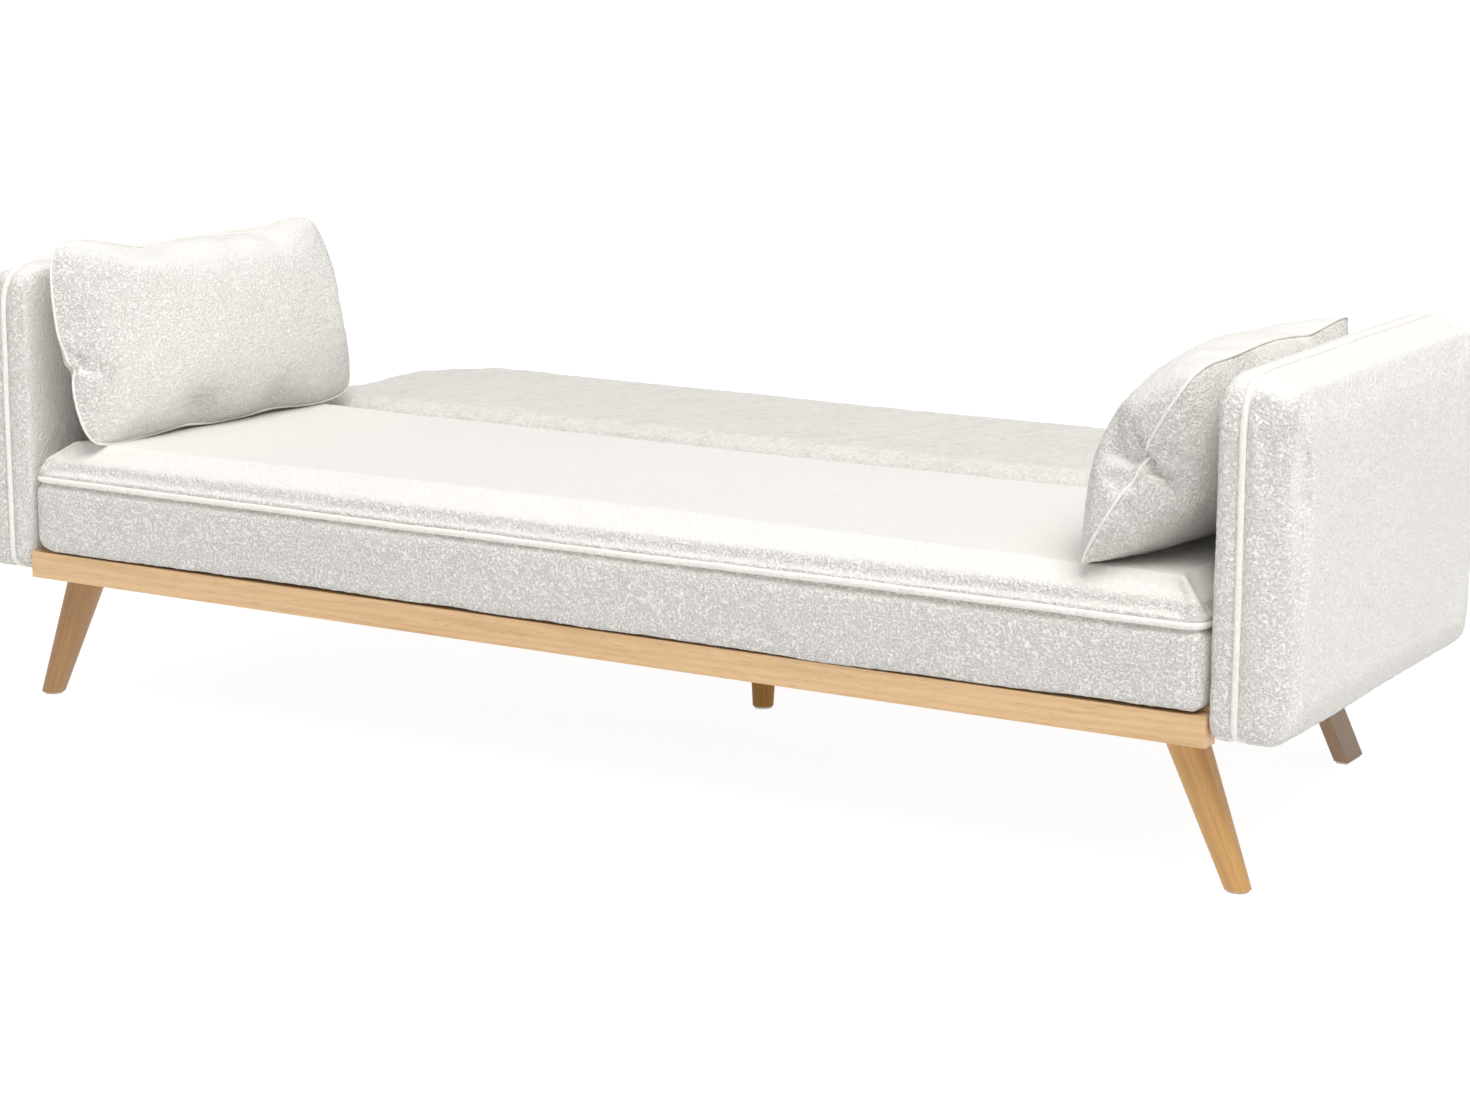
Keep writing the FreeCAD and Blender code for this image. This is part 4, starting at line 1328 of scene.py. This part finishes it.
    def calm(self, pad: bpy.types.Object, rim: list[int]) -> None:
        """Lets the long seams lie straight again and takes puckers out of the faces, but not at the ends.

        Args:
            pad: the filled pillow.
            rim: the rim's vertices in order.
        """
        points = points_of(pad.data)
        reach = np.abs(points[:, 1]) / np.abs(points[:, 1]).max()
        free = 1.0 - smooth_step(reach, *self.calm_span)
        edge = points[rim]
        points[rim] += (soften(edge, self.calm_rounds[0], closed=True) - edge) * free[rim, None]
        free[rim] = 0.0
        ends = np.array([pair.vertices[:] for pair in pad.data.edges])
        count = np.bincount(ends.ravel(), minlength=len(points))[:, None]
        for _ in range(self.calm_rounds[1]):
            total = np.zeros_like(points)
            np.add.at(total, ends[:, 0], points[ends[:, 1]])
            np.add.at(total, ends[:, 1], points[ends[:, 0]])
            points += (total / count - points) * free[:, None] * 0.5
        put_points(pad.data, points)

    def fit(self, pad: bpy.types.Object) -> None:
        """Scales the filled pillow to its real size."""
        points = points_of(pad.data)
        low, high = points.min(axis=0), points.max(axis=0)
        LOG.info("%s pillow as it fills: %s", self.side.word, np.round(high - low, 4))
        points = (points - (low + high) / 2.0) * (np.array((self.thickness, *self.face)) / (high - low))
        put_points(pad.data, points)

    def lay(self, pad: bpy.types.Object) -> None:
        """Leans the pillow on its arm, where its CAD solid is."""
        sign = self.side.value
        turn = Matrix.Rotation(math.radians(self.yaw), 3, "Z") @ Matrix.Rotation(
            math.radians(sign * self.lean), 3, "Y")
        points = points_of(pad.data) @ np.array(turn).T
        low, high = points.min(axis=0), points.max(axis=0)
        middle = (np.array(self.low) + np.array(self.high)) / 2.0
        points += middle - (low + high) / 2.0
        put_points(pad.data, points)

    def clear(self, points: Points, reach: float = 0.0) -> Points:
        """Keeps the pillow off the arm, the seat and the raised back.

        Args:
            points: n by 3 array.
            reach: how far the piece reaches round each point.

        Returns:
            The points inside the CAD solid's box.
        """
        low, high = np.array(self.low), np.array(self.high)
        return np.clip(points, low + reach, high - reach)


# ---- frame, legs, hinges ----
class Carcass:
    """Every CAD node whose own shape shows: timber, legs, hinges and fasteners."""

    def dress(self, dresser: Dresser) -> None:
        """Gives each of the nodes its finish."""
        finishes: dict[str, Finish] = {
            "front_rail": Woods.RAIL,
            "front_leg_left": Woods.LEFT_LEG,
            "front_leg_right": Woods.RIGHT_LEG,
            "center_leg": Woods.STAINED,
            "seat_slats": Woods.BEECH,
            "dust_cover": Cloths.LINING,
            "back_lining": Cloths.LINING,
            "back_webbing": Cloths.WEBBING,
            "floor_glides": Cloths.FELT,
        }
        along = ["front_beam", "rear_rail", "slat_ledgers", "back_bottom_rail", "back_top_rail"]
        finishes |= {node: Woods.PINE for node in along}
        across = ["cross_rail_1", "cross_rail_2", "cross_rail_3", "back_struts"]
        for end in Side:
            across += ["side_rail_" + end.word, "back_stile_" + end.word, "arm_spacer_" + end.word]
            finishes["rear_leg_" + end.word] = Woods.LACQUER
            finishes["arm_panel_" + end.word] = Woods.PLY
            finishes["hinge_back_plate_" + end.word] = Metals.POWDER
            finishes["hinge_seat_plate_" + end.word] = Metals.POWDER
            finishes["ratchet_pawl_" + end.word] = Metals.ZINC
        finishes |= {node: Woods.PINE_ACROSS for node in across}
        zinc = ["leg_bolts", "arm_bolts", "hinge_back_screws", "hinge_seat_screws", "hinge_pins", "pawl_pins",
                "pawl_springs", "stop_pins"]
        finishes |= {node: Metals.ZINC for node in zinc}
        for node, finish in finishes.items():
            dresser.keep(node, finish)
        LOG.info("dressed %d CAD nodes", len(finishes))


# ---- stage ----
@dataclass
class Studio:
    """Pale floor, soft light and the camera."""

    lens: float = 84.17
    azimuth: float = 30.36
    elevation: float = 11.77
    roll: float = 0.34
    spot: tuple[float, float, float] = (2.389, -4.1205, 1.228)
    floor_size: float = 60.0
    sky: float = 0.48
    softbox_power: float = 1090.0
    softbox_size: float = 7.0
    softbox_spot: tuple[float, float, float] = (4.6, -4.0, 10.2)

    def build(self, dresser: Dresser) -> None:
        """Makes the floor, the lights and the camera."""
        self.floor(dresser)
        self.lights()
        self.camera()

    def floor(self, dresser: Dresser) -> None:
        """A wide level floor under the glides."""
        half = self.floor_size / 2.0
        mesh = bpy.data.meshes.new("floor")
        corners = [(-half, -half, 0.0), (half, -half, 0.0), (half, half, 0.0), (-half, half, 0.0)]
        mesh.from_pydata(corners, [], [(0, 1, 2, 3)])
        floor = new_object("floor", mesh)
        dresser.dress(floor, FloorPaint())

    def lights(self) -> None:
        """A white sky and one wide soft light from above, a little to the right and the front."""
        world = bpy.data.worlds.new("studio")
        bpy.context.scene.world = world
        world.use_nodes = True
        background = world.node_tree.nodes["Background"]
        background.inputs["Color"].default_value = (1.0, 1.0, 1.0, 1.0)
        background.inputs["Strength"].default_value = self.sky
        light = bpy.data.lights.new("softbox", "AREA")
        light.energy = self.softbox_power
        light.size = self.softbox_size
        lamp = bpy.data.objects.new("softbox", light)
        spot = Vector(self.softbox_spot)
        lamp.matrix_world = Matrix.Translation(spot) @ spot.to_track_quat("Z", "Y").to_matrix().to_4x4()
        bpy.context.scene.collection.objects.link(lamp)
        bpy.context.scene.view_settings.view_transform = "Standard"

    def camera(self) -> None:
        """The camera, looking along the bed from the front and right."""
        data = bpy.data.cameras.new("camera")
        data.lens = self.lens
        data.sensor_width = 36.0
        camera = bpy.data.objects.new("camera", data)
        a, e = math.radians(self.azimuth), math.radians(self.elevation)
        forward = Vector((-math.sin(a) * math.cos(e), math.cos(a) * math.cos(e), -math.sin(e)))
        right = forward.cross(Vector((0.0, 0.0, 1.0))).normalized()
        up = right.cross(forward)
        r = math.radians(self.roll)
        right, up = math.cos(r) * right + math.sin(r) * up, -math.sin(r) * right + math.cos(r) * up
        turn = Matrix((right, up, -forward)).transposed()
        camera.matrix_world = Matrix.Translation(self.spot) @ turn.to_4x4()
        bpy.context.scene.collection.objects.link(camera)
        bpy.context.scene.camera = camera


def main() -> None:
    """Builds and dresses the daybed, part by part, then the studio."""
    logging.basicConfig(level=logging.INFO, format="%(name)s: %(message)s")
    dresser = Dresser()
    Studio().build(dresser)
    SeatPad().build(dresser)
    for side in Side:
        Arm(side).build(dresser)
    BackPad().build(dresser)
    Pillow(Side.LEFT, lean=14.0, yaw=-5.0, thickness=0.160).build(dresser)
    Pillow(Side.RIGHT, lean=30.0, yaw=2.0, thickness=0.192, shift=40.0).build(dresser)
    Carcass().dress(dresser)


if __name__ == "__main__":
    main()
